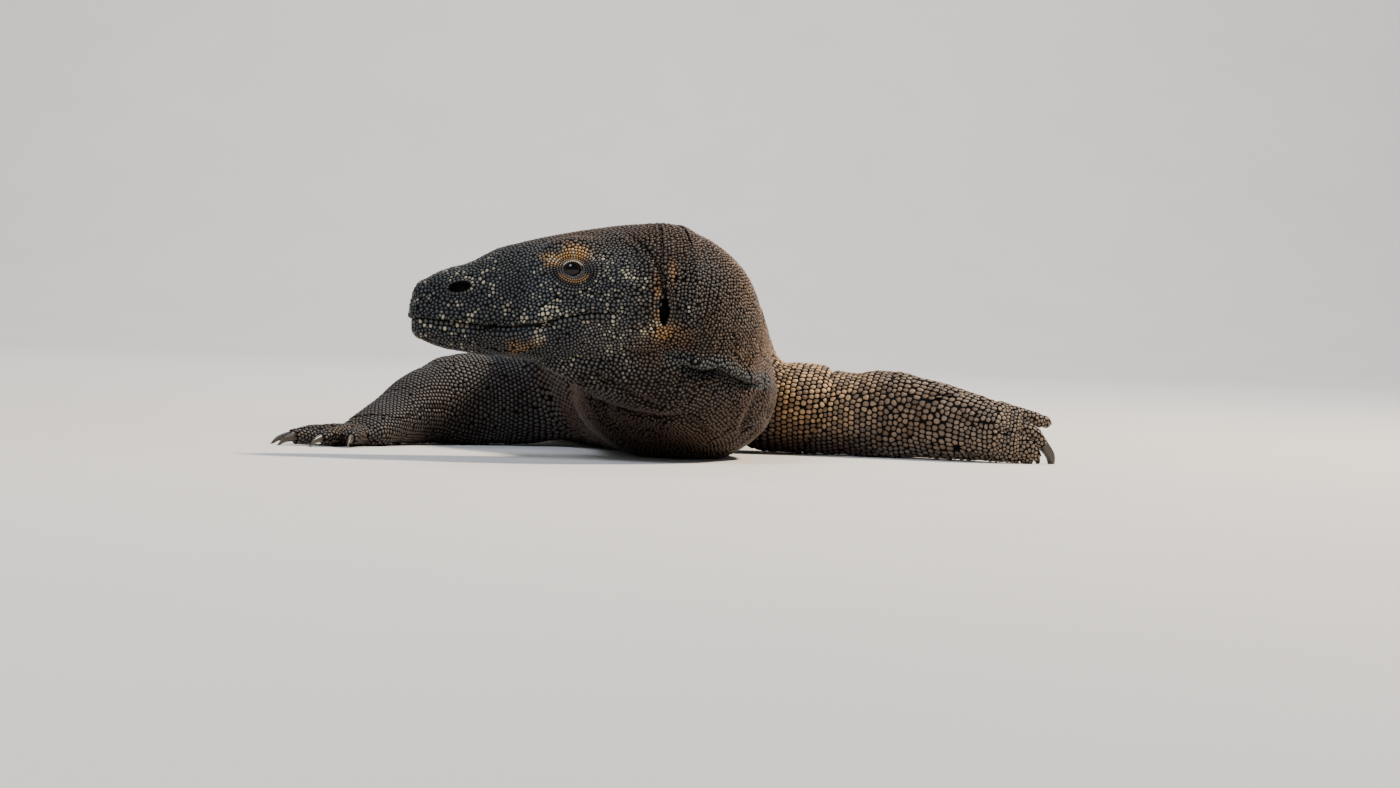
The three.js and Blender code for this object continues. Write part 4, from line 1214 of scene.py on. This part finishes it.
def markings(p, luck):
    """Shares of each marking at each place; luck is one random number for each scale, so specks are scales.

    Returns cream, ochre, tan, rust, slate and painted shade, each 0..1.
    """
    back, side, z = head_place(p)
    x, y = p[:, 0] / MM, p[:, 1] / MM
    out = np.abs(side)
    head = ramp(-190, -215, y) * ramp(238, 224, back) * ramp(60, 90, z)
    patch = noise(p, 0.010, 11)
    fine = noise(p, 0.0045, 12)
    wide = noise(p, 0.045, 13)
    mouth = above_mouth(back, z)
    eye = eye_ring(back, z)
    v = z - EYE["z"]
    speck = luck * 0.6 + 0.4 * fine

    # cream specks: a few anywhere, clusters on the lips and jaw, a streak over the cheek
    some = ramp(0.40, 0.62, patch)
    chance = 0.02 + 0.30 * bump(mouth - 6, 9) * some
    chance += 0.80 * bump(back - 106, 8) * bump(mouth - 7, 5)
    chance += 0.55 * bump(back - 108, 22) * bump(mouth + 11, 8) * some
    chance += 0.35 * bump(back - 160, 22) * bump(mouth + 8, 6) * some
    streak, _, _ = line_distance(back, z, [(149, 164), (164, 157), (184, 146)])
    chance += 0.60 * bump(streak, 5.0) * ramp(0.3, 0.5, patch)
    chance += 0.30 * bump(back - 98, 14) * bump(z - 150, 9)
    chance += 0.40 * bump(back - 190, 12) * bump(z - 110, 9)
    cream = head * ramp(1 - chance, 1 - chance + 0.16, 1 - speck + 0.02)
    cream *= 0.45 + 0.55 * fine
    dusty = ramp(0.62, 0.95, luck) * ramp(0.42, 0.62, noise(p, 0.013, 16)) * ramp(205, 150, back)
    cream = np.maximum(cream, head * (0.46 + 0.16 * ramp(90, 50, back)) * dusty * ramp(176, 160, z))
    lid = (out > 20) * head
    cream = np.maximum(cream, lid * 0.9 * bump(eye - 7.0, 1.3) * ramp(2, 5, v))

    # the bright patch over the eye, the pouch below it, the jaw's lower edge and the ear's rims
    over_eye = bump(back - 129, 9) * bump(z - 169, 6) + bump(back - 112, 9) * bump(z - 163.5, 4.5)
    ochre = 1.7 * over_eye * ramp(0.24, 0.46, patch + 0.30 * (luck - 0.5))
    ochre = np.maximum(ochre, 0.75 * bump(eye - 9.3, 1.7) * ramp(-2, -5, v))
    ochre += 0.65 * bump(back - 88, 24) * bump(mouth + 18, 6) * ramp(0.3, 0.6, patch)
    ear = behind_ear(back, side)
    ochre += 0.55 * bump(ear + 6, 3.6) * bump(z - 134, 22) * ramp(0.2, 0.5, patch)
    ochre += 0.70 * bump(ear - 2, 11) * bump(z - 107, 7) * ramp(0.25, 0.5, patch)
    ochre += 0.45 * bump(ear - 6, 3) * bump(z - 156, 8)
    ochre = head * ochre * (out > 14)
    cream = np.maximum(cream, head * 0.7 * np.clip(over_eye, 0, 1) * ramp(0.62, 0.80, fine + 0.2 * luck))

    # tan beads over the left shoulder, lighter rows along the rim of the neck's fold
    arm = ramp(96, 116, x) * ramp(235, 150, x) * ramp(60, 20, y) * ramp(-140, -100, y)
    tan = arm * (0.25 + 0.75 * ramp(0.2, 0.8, luck)) * ramp(8, 50, z)
    tan = np.maximum(tan, 0.12 * ramp(190, 205, -x) * ramp(40, 20, z) * ramp(0.5, 0.8, patch) * (y < 50))
    tan = np.maximum(tan, ramp(185, 225, x) * ramp(100, 40, y) * (0.08 + 0.18 * luck))
    blotch = ramp(0.55, 0.75, noise(p, 0.028, 15)) * ramp(60, 200, y)
    tan = np.maximum(tan, 0.25 * blotch * luck)
    neck = ramp(-340, -250, y) * ramp(40, -80, y) * (1 - head)
    tan = np.maximum(tan, 0.35 * neck * ramp(0.55, 0.9, luck) * ramp(60, 100, z))
    rust = 0.20 + 0.35 * (wide - 0.35) + 0.60 * neck + 0.30 * head * ramp(168, 184, z)
    rust = np.maximum(rust, head * 0.8 * ramp(-4, -12, mouth))
    limb = ramp(84, 112, np.abs(x)) * ramp(120, 60, y) * (1 - arm)
    rust = rust * (1 - 0.45 * limb)
    slate = head * ramp(205, 160, back) * ramp(184, 168, z) * (0.65 + 0.6 * (wide - 0.5))
    slate = np.maximum(slate, 0.36 * limb * ramp(0.3, 0.6, wide + 0.3 * (luck - 0.5)))
    slate = np.maximum(slate, 0.25 * ramp(0.5, 0.8, noise(p, 0.030, 14)))

    # painted shade: the furrows, the eye's hollow, the temple crease, the mouth's line, the underside of the
    # jaw and the throat, and the right arm are darkened where shadow falls
    _, shade = fold_profile(x, z)
    shade = shade * ramp(-150, -190, y)
    # a paler bluish grey along the rim of the upper neck fold
    rim, _, _ = line_distance(x, z, FOLDS[2][0])
    slate = np.maximum(slate, 0.8 * bump(rim - 4, 5) * ramp(-150, -190, y) * (z > 62))
    # painted shade in the eye's hollow, stronger below its middle
    shade = np.maximum(shade, head * 0.7 * bump(eye - 11.5, 2.2) * ramp(4, -3, v) * (out > 20))
    # painted shade under the jaw, below the lips, where the head shades itself
    under_jaw_shade = head * 0.62 * ramp(-5, -13, mouth) * ramp(150, 110, back)
    shade = np.maximum(shade, under_jaw_shade * ramp(0.85, 0.5, patch))
    # painted shadow over the right arm, which lies in the shadow of the head and neck
    shade = np.maximum(shade, 0.54 * ramp(-84, -112, x) * ramp(110, 60, y))
    # painted shade in the crease over the temple
    crease, _, _ = line_distance(ear, z, TEMPLE_CREASE)
    shade = np.maximum(shade, head * 0.6 * bump(crease, 2.2) * ramp(190, 165, z))
    # painted shade on the throat's lower part, which faces the floor
    shade = np.maximum(shade, 0.50 * ramp(90, 25, z) * ramp(-150, -200, y) * ramp(100, 84, np.abs(x)))
    # painted shade along the mouth's line
    shade = np.maximum(shade, head * 0.5 * bump(mouth, 2.2) * (back < JAW_CORNER))
    shade = shade * (1 - 0.8 * np.clip(cream, 0, 1))
    return [np.clip(m, 0, 1) for m in (cream, ochre, tan, rust, slate, shade)]


def paint(mesh, marks, root, luck, rise):
    """Stores the markings and the height within a scale on the mesh, for its material."""
    cream, ochre, tan, rust, slate, shade = marks
    # the second layer holds luck, rise (how far the colour climbs out of the painted shade at a scale's
    # foot), slate and painted shade
    for name, values in (("marks", (cream, ochre, tan, rust)), ("wear", (luck, rise, slate, shade))):
        layer = mesh.attributes.new(name, "FLOAT_COLOR", "POINT")
        layer.data.foreach_set("color", np.stack(values, -1).astype(np.float32).ravel())
    layer = mesh.attributes.new("root", "FLOAT_VECTOR", "POINT")
    layer.data.foreach_set("vector", root.astype(np.float32).ravel())


def linear(colour):
    """An sRGB hex colour as linear RGBA: (c/12.92) low down, ((c+0.055)/1.055)^2.4 above."""
    c = np.array([int(colour[i:i + 2], 16) / 255 for i in (1, 3, 5)])
    c = np.where(c <= 0.04045, c / 12.92, ((c + 0.055) / 1.055) ** 2.4)
    return (*c.tolist(), 1.0)


def add_node(tree, kind, settings=None, values=None, links=None):
    """A node with its settings, input values and links from other nodes' outputs."""
    node = tree.nodes.new(kind)
    for key, value in (settings or {}).items():
        setattr(node, key, value)
    for key, value in (values or {}).items():
        node.inputs[key].default_value = value
    for key, source in (links or {}).items():
        tree.links.new(source, node.inputs[key])
    return node


def new_material(name):
    """An empty node material and its tree."""
    material = bpy.data.materials.new(name)
    material.use_nodes = True
    material.node_tree.nodes.clear()
    return material, material.node_tree


def finish_material(tree, shader):
    """Sends the shader to the surface."""
    add_node(tree, "ShaderNodeOutputMaterial", links={"Surface": shader.outputs[0]})


def layer_colours(tree, base, layers):
    """Lays colours over a base one after another, each by its own factor."""
    for factor, colour in layers:
        mix = add_node(tree, "ShaderNodeMix", {"data_type": "RGBA"}, {7: linear(colour)},
                       {0: factor, 6: base})
        base = mix.outputs[2]
    return base


def scaled_hide(name, roughness):
    """Reptile keratin, grown: matt dark horn over dark skin; the colour sinks to near black towards each
    scale's foot, partly the dark skin between the scales and partly painted shade in the seams.

    The scales' middles catch a broad satin light and the seams between them stay almost black.
    """
    material, tree = new_material(name)
    marks = add_node(tree, "ShaderNodeAttribute", {"attribute_name": "marks"})
    wear = add_node(tree, "ShaderNodeAttribute", {"attribute_name": "wear"})
    root = add_node(tree, "ShaderNodeAttribute", {"attribute_name": "root"})
    split_marks = add_node(tree, "ShaderNodeSeparateColor", links={0: marks.outputs["Color"]})
    split_tone_and_shade = add_node(tree, "ShaderNodeSeparateColor", links={0: wear.outputs["Color"]})
    luck, rise, slate = split_tone_and_shade.outputs
    cream, ochre, tan = split_marks.outputs
    rust = marks.outputs["Alpha"]
    # painted shade from the markings: furrows, hollows, creases and undersides are darkened
    shade = add_node(tree, "ShaderNodeMath", {"operation": "MULTIPLY"}, {1: 0.8}, {0: wear.outputs["Alpha"]})
    # cloudy tones, about 17 mm across
    mottle = add_node(tree, "ShaderNodeTexNoise", values={"Scale": 60.0, "Detail": 3.0},
                      links={"Vector": root.outputs["Vector"]})
    tone = add_node(tree, "ShaderNodeMath", {"operation": "MULTIPLY_ADD"}, {1: 0.6},
                    {0: luck, 2: mottle.outputs[0]})
    tone = add_node(tree, "ShaderNodeMapRange", values={1: 0.45, 2: 1.25}, links={0: tone.outputs[0]})
    hide = add_node(tree, "ShaderNodeMix", {"data_type": "RGBA"},
                    {6: linear("#121110"), 7: linear("#625b53")}, {0: tone.outputs[0]})
    colour = layer_colours(tree, hide.outputs[2], [
        (rust, "#5d4739"), (slate, "#545c60"), (tan, "#c29d72"), (ochre, "#c2935c"), (cream, "#d6ccae"),
        # painted shade
        (shade.outputs[0], "#0f0d0c"),
    ])
    # painted shade: by its height, each scale's colour sinks to near black at its foot and in the seams,
    # partly the dark skin itself
    lift = add_node(tree, "ShaderNodeMapRange", values={1: 0.16, 2: 0.74, 3: 0.0, 4: 1.0}, links={0: rise})
    colour_all = add_node(tree, "ShaderNodeMix", {"data_type": "RGBA"}, {6: linear("#0d0b0a")},
                          {0: lift.outputs[0], 7: colour})
    place = add_node(tree, "ShaderNodeTexCoord")
    # grit on the horn, two thirds of a millimetre and finer
    grit = add_node(tree, "ShaderNodeTexNoise", values={"Scale": 1500.0, "Detail": 2.0, "Roughness": 0.6},
                    links={"Vector": place.outputs["Object"]})
    rough = add_node(tree, "ShaderNodeMapRange",
                     values={1: 0.3, 2: 0.7, 3: roughness - 0.08, 4: roughness + 0.12},
                     links={0: grit.outputs[0]})
    relief_node = add_node(tree, "ShaderNodeBump", values={"Strength": 0.5, "Distance": 0.00025},
                           links={"Height": grit.outputs[0]})
    # painted shade on the shine: by its height the specular level falls towards each scale's foot and the
    # seams, so only the raised middles gleam
    gleam = add_node(tree, "ShaderNodeMapRange", values={1: 0.3, 2: 1.0, 3: 0.05, 4: 0.34}, links={0: rise})
    shader = add_node(tree, "ShaderNodeBsdfPrincipled", values={"IOR": 1.54},
                      links={"Base Color": colour_all.outputs[2], "Roughness": rough.outputs[0],
                             "Specular IOR Level": gleam.outputs[0], "Normal": relief_node.outputs[0]})
    finish_material(tree, shader)
    return material


def wet_eye():
    """A living eye: dark brown iris round a black pupil, under a wet cornea that gives a sharp glint."""
    material, tree = new_material("wet dark eye")
    ring = add_node(tree, "ShaderNodeAttribute", {"attribute_name": "ring"})
    place = add_node(tree, "ShaderNodeTexCoord")
    # flecks of the iris, about 1 mm
    flecks = add_node(tree, "ShaderNodeTexNoise", values={"Scale": 900.0, "Detail": 3.0},
                      links={"Vector": place.outputs["Object"]})
    iris = add_node(tree, "ShaderNodeMix", {"data_type": "RGBA"},
                    {6: linear("#0f0a07"), 7: linear("#2b1c11")}, {0: flecks.outputs[0]})
    pupil = add_node(tree, "ShaderNodeMapRange", values={1: 0.50, 2: 0.56}, links={0: ring.outputs["Fac"]})
    edge = add_node(tree, "ShaderNodeMapRange", values={1: 0.62, 2: 0.74}, links={0: ring.outputs["Fac"]})
    inner = add_node(tree, "ShaderNodeMix", {"data_type": "RGBA"}, {6: linear("#040303")},
                     {0: pupil.outputs[0], 7: iris.outputs[2]})
    whole = add_node(tree, "ShaderNodeMix", {"data_type": "RGBA"}, {7: linear("#0d0907")},
                     {0: edge.outputs[0], 6: inner.outputs[2]})
    shader = add_node(tree, "ShaderNodeBsdfPrincipled",
                      values={"Roughness": 0.06, "IOR": 1.34},
                      links={"Base Color": whole.outputs[2]})
    finish_material(tree, shader)
    return material


def claw_horn():
    """Claw horn, grown in layers: near black with long pale streaks and a satin polish where it is worn."""
    material, tree = new_material("claw horn")
    along = add_node(tree, "ShaderNodeAttribute", {"attribute_name": "along"})
    place = add_node(tree, "ShaderNodeTexCoord")
    # layers of the horn, about 2.4 mm
    streak = add_node(tree, "ShaderNodeTexNoise", values={"Scale": 420.0, "Detail": 4.0, "Distortion": 0.4},
                      links={"Vector": place.outputs["Object"]})
    colour = add_node(tree, "ShaderNodeMix", {"data_type": "RGBA"},
                      {6: linear("#17130f"), 7: linear("#4d4338")}, {0: streak.outputs[0]})
    dusty = add_node(tree, "ShaderNodeMapRange", values={1: 0.0, 2: 0.5, 3: 0.6, 4: 0.0},
                     links={0: along.outputs["Fac"]})
    root = add_node(tree, "ShaderNodeMix", {"data_type": "RGBA"}, {7: linear("#3b332b")},
                    {0: dusty.outputs[0], 6: colour.outputs[2]})
    relief_node = add_node(tree, "ShaderNodeBump", values={"Strength": 0.4, "Distance": 0.0002},
                           links={"Height": streak.outputs[0]})
    shader = add_node(tree, "ShaderNodeBsdfPrincipled", values={"Roughness": 0.38, "IOR": 1.54},
                      links={"Base Color": root.outputs[2], "Normal": relief_node.outputs[0]})
    finish_material(tree, shader)
    return material


def ear_membrane():
    """The eardrum: a thin dull membrane, dark brown in the shade of its slot."""
    material, tree = new_material("ear membrane")
    place = add_node(tree, "ShaderNodeTexCoord")
    # dull clouds, about 3 mm
    cloud = add_node(tree, "ShaderNodeTexNoise", values={"Scale": 350.0, "Detail": 2.0},
                     links={"Vector": place.outputs["Object"]})
    colour = add_node(tree, "ShaderNodeMix", {"data_type": "RGBA"},
                      {6: linear("#0d0a09"), 7: linear("#241b16")}, {0: cloud.outputs[0]})
    relief_node = add_node(tree, "ShaderNodeBump", values={"Strength": 0.3, "Distance": 0.0003},
                           links={"Height": cloud.outputs[0]})
    shader = add_node(tree, "ShaderNodeBsdfPrincipled", values={"Roughness": 0.5, "IOR": 1.45},
                      links={"Base Color": colour.outputs[2], "Normal": relief_node.outputs[0]})
    finish_material(tree, shader)
    return material


# ------------------------------------------------------------------ pieces


def add_piece(name, verts, faces, material):
    """A mesh object at the origin that rides on the animal: a list of faces, or an array of triangles."""
    mesh = bpy.data.meshes.new(name)
    if isinstance(faces, list):
        mesh.from_pydata(np.asarray(verts).tolist(), [], faces)
    else:
        mesh.vertices.add(len(verts))
        mesh.vertices.foreach_set("co", np.asarray(verts, np.float32).ravel())
        mesh.loops.add(faces.size)
        mesh.loops.foreach_set("vertex_index", faces.astype(np.int32).ravel())
        mesh.polygons.add(len(faces))
        mesh.polygons.foreach_set("loop_start", np.arange(0, faces.size, 3, dtype=np.int32))
        mesh.update(calc_edges=True)
    mesh.polygons.foreach_set("use_smooth", np.full(len(mesh.polygons), True))
    mesh.materials.append(material)
    piece = bpy.data.objects.new(name, mesh)
    bpy.context.scene.collection.objects.link(piece)
    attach(piece, "root")
    return piece


def is_flesh(node):
    """Whether the skin stands for a node: all but the eyes, eardrums and claws."""
    return not any(word in node for word in ("eye_", "ear_", "_claw_"))


def add_skin(material):
    """The bare skin under the scales, near black where it shows in the seams, partly its own dark colour and
    partly painted shade; only the eyelids, which show bare, are paler.
    """
    verts, tris = skin_mesh()
    piece = add_piece("skin", verts, tris, material)
    luck = scatter(np.floor(verts / 0.003), 2)
    back, side, z = head_place(verts)
    lids = (np.abs(side) > 20) & (verts[:, 1] < HEAD_FRONT) & (np.abs(back - EYE["back"]) < 12)
    rise = np.where(lids, 0.05 + 0.65 * ramp(1.7, 1.3, eye_opening(back, z)), 0.06)
    paint(piece.data, markings(verts, luck), verts, luck, rise)
    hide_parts(*[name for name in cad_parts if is_flesh(name)])
    return verts, tris


PIECE_LIMIT = 196000  # triangles
FRONT, BACK = -9, 9  # metres, past both ends of the animal
LOIN = 0.80  # where the trunk's coat ends and the tail's begins, metres
# Each coat: the forms it grows on, the stretch along y, the corners of its scales and their rings.
COATS = {
    "coat_head": (("skull", "jaw"), FRONT, BACK, 8, SMALL_SCALE),
    "coat_throat": (("throat",), FRONT, BACK, 6, SMALL_SCALE),
    "coat_neck": (("body",), FRONT, 0.0, 6, SMALL_SCALE),
    "coat_trunk": (("body",), 0.0, LOIN, 6, SMALL_SCALE),
    "coat_tail": (("body",), LOIN, BACK, 6, SMALL_SCALE),
    "coat_right_arm": (("right_arm",), FRONT, BACK, 8, LARGE_SCALE),
    "coat_left_arm": (("left_arm",), FRONT, BACK, 8, LARGE_SCALE),
    "coat_right_leg": (("right_leg",), FRONT, BACK, 6, SMALL_SCALE),
    "coat_left_leg": (("left_leg",), FRONT, BACK, 6, SMALL_SCALE),
}
PATCH = 0.003  # size of one scale's patch on the baking map


def bake_map(mesh, seeds, corners, owners, profile):
    """Lays each scale's own patch at its root's place on the unwrap of its form.

    u runs along the form, stretched to fill the map, and v round it from the middle of the back, one band of
    the map for each form.
    """
    band = np.searchsorted(owners, seeds["owner"])
    low = np.array([seeds["place"][seeds["owner"] == i, 0].min() for i in owners])[band]
    high = np.array([seeds["place"][seeds["owner"] == i, 0].max() for i in owners])[band]
    u = 0.01 + 0.98 * (seeds["place"][:, 0] - low) / np.maximum(high - low, 1e-6)
    v = (band + 0.01 + 0.98 * (0.5 + 0.5 * seeds["place"][:, 1].clip(-1, 1))) / len(owners)
    angle = (np.arange(corners) + 0.5) * 2 * math.pi / corners
    ring = np.stack([np.cos(angle), np.sin(angle)], -1) * PATCH / 2
    local = np.concatenate([*[ring * share for share, _, _ in profile], [[0, 0]]])
    uv = np.stack([u, v], -1)[:, None] + local[None]
    loops = np.zeros(len(mesh.loops), np.int32)
    mesh.loops.foreach_get("vertex_index", loops)
    layer = mesh.uv_layers.new(name="OFBake")
    layer.data.foreach_set("uv", uv.reshape(-1, 2)[loops].clip(0, 1).astype(np.float32).ravel())


def add_coat(seeds, material):
    """One mesh for each region of scales, divided where it would grow past the limit."""
    y = seeds["root"][:, 1]
    for coat, (forms, low, high, corners, profile) in COATS.items():
        members = [i for i, form_name in enumerate(FORM_NAMES) if form_name.startswith(forms)]
        chosen = np.flatnonzero(np.isin(seeds["owner"], members) & (y >= low) & (y < high))
        chosen = chosen[np.argsort(y[chosen], kind="stable")]
        per_scale = 2 * corners * len(profile) - 2
        pieces = math.ceil(len(chosen) * per_scale / PIECE_LIMIT)
        for number, share in enumerate(np.array_split(chosen, pieces)):
            own = pick(seeds, share)
            name = f"{coat}_{number + 1}" if pieces > 1 else coat
            radius = own[f"radius{corners}"] * (1 - 0.5 * own["seam"])[:, None]
            turn = own[f"turn{corners}"]
            verts, tris = scale_mesh(own, radius, turn, own["height"], own["tilt"], profile)
            verts[:, 2] = np.maximum(verts[:, 2], 0.0)
            piece = add_piece(name, verts, tris, material)
            rise = np.concatenate([*[np.full(corners, pale) for _, _, pale in profile], [1.0]])
            marks = [np.repeat(mark, len(rise)) for mark in markings(own["root"], own["luck"])]
            root, luck = np.repeat(own["root"], len(rise), 0), np.repeat(own["luck"], len(rise))
            paint(piece.data, marks, root, luck, np.tile(rise, len(share)))
            bake_map(piece.data, own, corners, np.unique(own["owner"]), profile)


def shape_scales(seeds):
    """Height, tilt and seam of each scale by where it grows.

    Low cobbles on the face, small cones on the nape and neck, flatter beads on the arms and behind:
    height = share x size (0.85 + 0.3 luck), at most 2.3 mm.
    """
    p, size = seeds["root"], seeds["size"]
    names = FORM_NAMES[seeds["owner"]]
    arm = np.char.find(names, "arm") >= 0
    face = np.isin(names, ["skull", "jaw"])
    neck = (names == "body") & (p[:, 1] < 0.0)
    throat = names == "throat"
    face_high = 0.30 + 0.12 * ramp(0.165, 0.182, p[:, 2])
    neck_high = 0.40 + 0.14 * ramp(0.10, 0.17, p[:, 2])
    high = np.select([face, neck, throat, arm], [face_high, neck_high, 0.36, 0.27], 0.28)
    tilt = np.select([face, neck | throat, arm], [0.15, 0.30, 0.15], 0.30)
    seam = np.select([face, neck, throat, arm], [0.10, 0.12, 0.12, 0.09], 0.10)
    seam = np.where(names == "left_arm_lower", 0.07, seam)
    high = np.where(names == "left_arm_lower", 0.20, high)
    high *= 0.85 + 0.3 * seeds["luck"]
    seeds["height"] = np.minimum(high * size, 2.3 * MM)
    seeds["tilt"], seeds["seam"] = tilt, seam
    return seeds


def add_eyes(material):
    """Eyeballs: a globe with the cornea's low dome in front, r = radius (1 + 0.045 bell(angle))."""
    lift = np.linspace(0, math.pi, 40)[1:-1]
    turn = np.linspace(0, 2 * math.pi, 48, endpoint=False)
    verts, faces, ring = [], [], []
    for number, side in enumerate((1, -1)):
        centre = head_point(EYE["back"], EYE["side"] * side, EYE["z"])
        axis = unit(LEFTWARD * side - 0.16 * BACKWARD + np.array([0, 0, 0.06]))
        first = unit(np.cross(axis, [0, 0, 1.0]))
        second = np.cross(axis, first)
        u, v = np.meshgrid(turn, lift)
        radius = EYE["radius"] * MM * (1 + 0.045 * bump(v, 0.45))
        ball = (np.cos(v)[..., None] * axis + np.sin(v)[..., None] * (
            np.cos(u)[..., None] * first + np.sin(u)[..., None] * second)) * radius[..., None]
        start = number * (ball.shape[0] * ball.shape[1] + 2)
        points, quads = closed_tube(centre + ball)
        verts.append(points)
        faces += [[i + start for i in face[::-1]] for face in quads]
        ring.append(np.concatenate([np.sin(np.minimum(v, math.pi / 2)).ravel(), [0.0, 1.0]]))
    piece = add_piece("eyes", np.vstack(verts), faces, material)
    layer = piece.data.attributes.new("ring", "FLOAT", "POINT")
    layer.data.foreach_set("value", np.concatenate(ring).astype(np.float32))
    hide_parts("eye_left", "eye_right")


def add_eardrums(material):
    """A thin oval membrane at the bottom of each ear slot."""
    verts, faces = [], []
    for number, side in enumerate((1, -1)):
        drum = Lump(EAR_BACK[side], side * 46.5, EAR_Z, 5.4, 2.0, 14.5, 0)
        points, quads = drum.shell(0, 28)
        faces += [[i + number * len(points) for i in face] for face in quads]
        verts.append(points)
    piece = add_piece("eardrums", np.vstack(verts), faces, material)
    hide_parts("ear_left", "ear_right")


def add_claws(material):
    """Hooked claws: an oval section, narrower below, carried along the digit's curve to a blunt point."""
    verts, faces, along, start = [], [], [], 0
    nodes = [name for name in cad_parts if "_claw_" in name]
    t = np.linspace(0, 1, 16)
    angle = np.linspace(0, 2 * math.pi, 20, endpoint=False)
    for limb in LIMBS.values():
        for number, digit in enumerate(limb["digits"]):
            _, claw, level = digit_spine(limb, digit)
            inner = claw[0] - 4 * unit(claw[1] - claw[0])
            line, slope = spline(np.array([inner, *claw]) * MM, t)
            direction = unit(slope)
            wide_way = np.broadcast_to(level, direction.shape)
            up_way = unit(np.cross(direction, wide_way))
            share = 1 - 0.93 * ramp(-0.1, 1.1, t) * t**0.5
            if number in limb.get("worn", ()):
                share = (1.22 - 0.55 * t**2) * np.sqrt(1 - 0.8 * t**8)
            high = CLAW_HEIGHT * MM * share
            c, s = np.cos(angle), np.sin(angle)
            x = (high * 0.70)[:, None] * c * (1 - 0.25 * (s < 0) * np.abs(s))
            y = high[:, None] * s
            rings = line[:, None] + x[..., None] * wide_way[:, None] + y[..., None] * up_way[:, None]
            rings[..., 2] = np.maximum(rings[..., 2], 0.0002)
            points, quads = closed_tube(rings)
            faces += [[i + start for i in face[::-1]] for face in quads]
            verts.append(points)
            along.append(np.concatenate([np.repeat(t, len(angle)), [0, 1]]))
            start += len(points)
    piece = add_piece("claws", np.vstack(verts), faces, material)
    layer = piece.data.attributes.new("along", "FLOAT", "POINT")
    layer.data.foreach_set("value", np.concatenate(along).astype(np.float32))
    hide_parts(*nodes)


# ------------------------------------------------------------------ floor and light


def add_floor():
    """A pale sheet that runs level and sweeps up behind: floor, quarter round, wall.

    Its profile is y = 6 + 4 sin a, z = 4 - 4 cos a in the bend, carried along x.
    """
    # a slow drift of tone, about 0.3 m across
    material, tree = new_material("pale matt backdrop paper")
    place = add_node(tree, "ShaderNodeTexCoord")
    drift = add_node(tree, "ShaderNodeTexNoise", values={"Scale": 3.0},
                     links={"Vector": place.outputs["Object"]})
    colour = add_node(tree, "ShaderNodeMix", {"data_type": "RGBA"},
                      {6: linear("#d3cec7"), 7: linear("#dad6d0")}, {0: drift.outputs[0]})
    shader = add_node(tree, "ShaderNodeBsdfPrincipled", values={"Roughness": 0.9},
                      links={"Base Color": colour.outputs[2]})
    finish_material(tree, shader)
    reach, wall_foot, radius, top = 90.0, 6.0, 4.0, 14.0
    bend = np.linspace(0, math.pi / 2, 24)
    y = np.concatenate([[-reach, wall_foot], wall_foot + radius * np.sin(bend), [wall_foot + radius]])
    z = np.concatenate([[0.0, 0.0], radius - radius * np.cos(bend), [top]])
    verts = [(x, b, c) for x in (-reach, reach) for b, c in zip(y, z)]
    n = len(y)
    faces = [(i, i + n, i + n + 1, i + 1) for i in range(n - 1)]
    mesh = bpy.data.meshes.new("floor")
    mesh.from_pydata(verts, [], faces)
    mesh.polygons.foreach_set("use_smooth", np.full(len(faces), True))
    mesh.materials.append(material)
    floor = bpy.data.objects.new("floor", mesh)
    bpy.context.scene.collection.objects.link(floor)


def add_light(name, place, aim, size, power, colour):
    """A round soft light, size metres wide, its power in watts, turned by atan2(level distance, drop)."""
    data = bpy.data.lights.new(name, "AREA")
    data.shape = "DISK"
    data.size = size
    data.energy = power
    data.color = linear(colour)[:3]
    lamp = bpy.data.objects.new(name, data)
    lamp.location = place
    direction = np.array(aim, float) - place
    lamp.rotation_euler = (
        math.atan2(math.hypot(direction[0], direction[1]), -direction[2]), 0,
        math.atan2(direction[1], direction[0]) - math.pi / 2,
    )
    bpy.context.scene.collection.objects.link(lamp)


def add_lights():
    """A warm sun high on the left side, a cool sky in front, a rim from behind and light on the backdrop."""
    add_light("sun", (2.4, 0.35, 2.9), (0.0, -0.2, 0.10), 0.5, 300, "#fff0dc")
    add_light("sky", (-1.5, -2.6, 3.0), (-0.05, -0.3, 0.10), 1.6, 110, "#dfeaff")
    add_light("rim", (-0.8, 2.4, 3.0), (0.0, -0.1, 0.1), 1.8, 35, "#eaf2ff")
    add_light("backdrop", (0.0, 3.5, 5.5), (0.0, 9.5, 2.0), 4.0, 650, "#f4f6fa")
    world = bpy.data.worlds.new("studio")
    world.use_nodes = True
    world.node_tree.nodes["Background"].inputs[0].default_value = linear("#dfe6ee")
    world.node_tree.nodes["Background"].inputs[1].default_value = 0.36
    bpy.context.scene.world = world


# ------------------------------------------------------------------ the whole animal


def build():
    """The skin, the scales' roots, planted, eased apart, filled in and eased again, and then the pieces."""
    hide = scaled_hide("scaled hide", 0.5)
    verts, tris = add_skin(hide)
    seeds = plant()
    seeds = spread(seeds, 3)
    seeds = fill_gaps(seeds, verts, tris)
    seeds = spread(seeds, 2)
    seeds = scale_frames(seeds)
    for corners in (6, 8):
        seeds[f"radius{corners}"], seeds[f"turn{corners}"] = outlines(seeds, corners)
    seeds["luck"] = RANDOM.random(len(seeds["root"]))
    seeds = shape_scales(seeds)
    add_coat(seeds, hide)
    add_eyes(wet_eye())
    add_eardrums(ear_membrane())
    add_claws(claw_horn())


build()
add_floor()
add_lights()
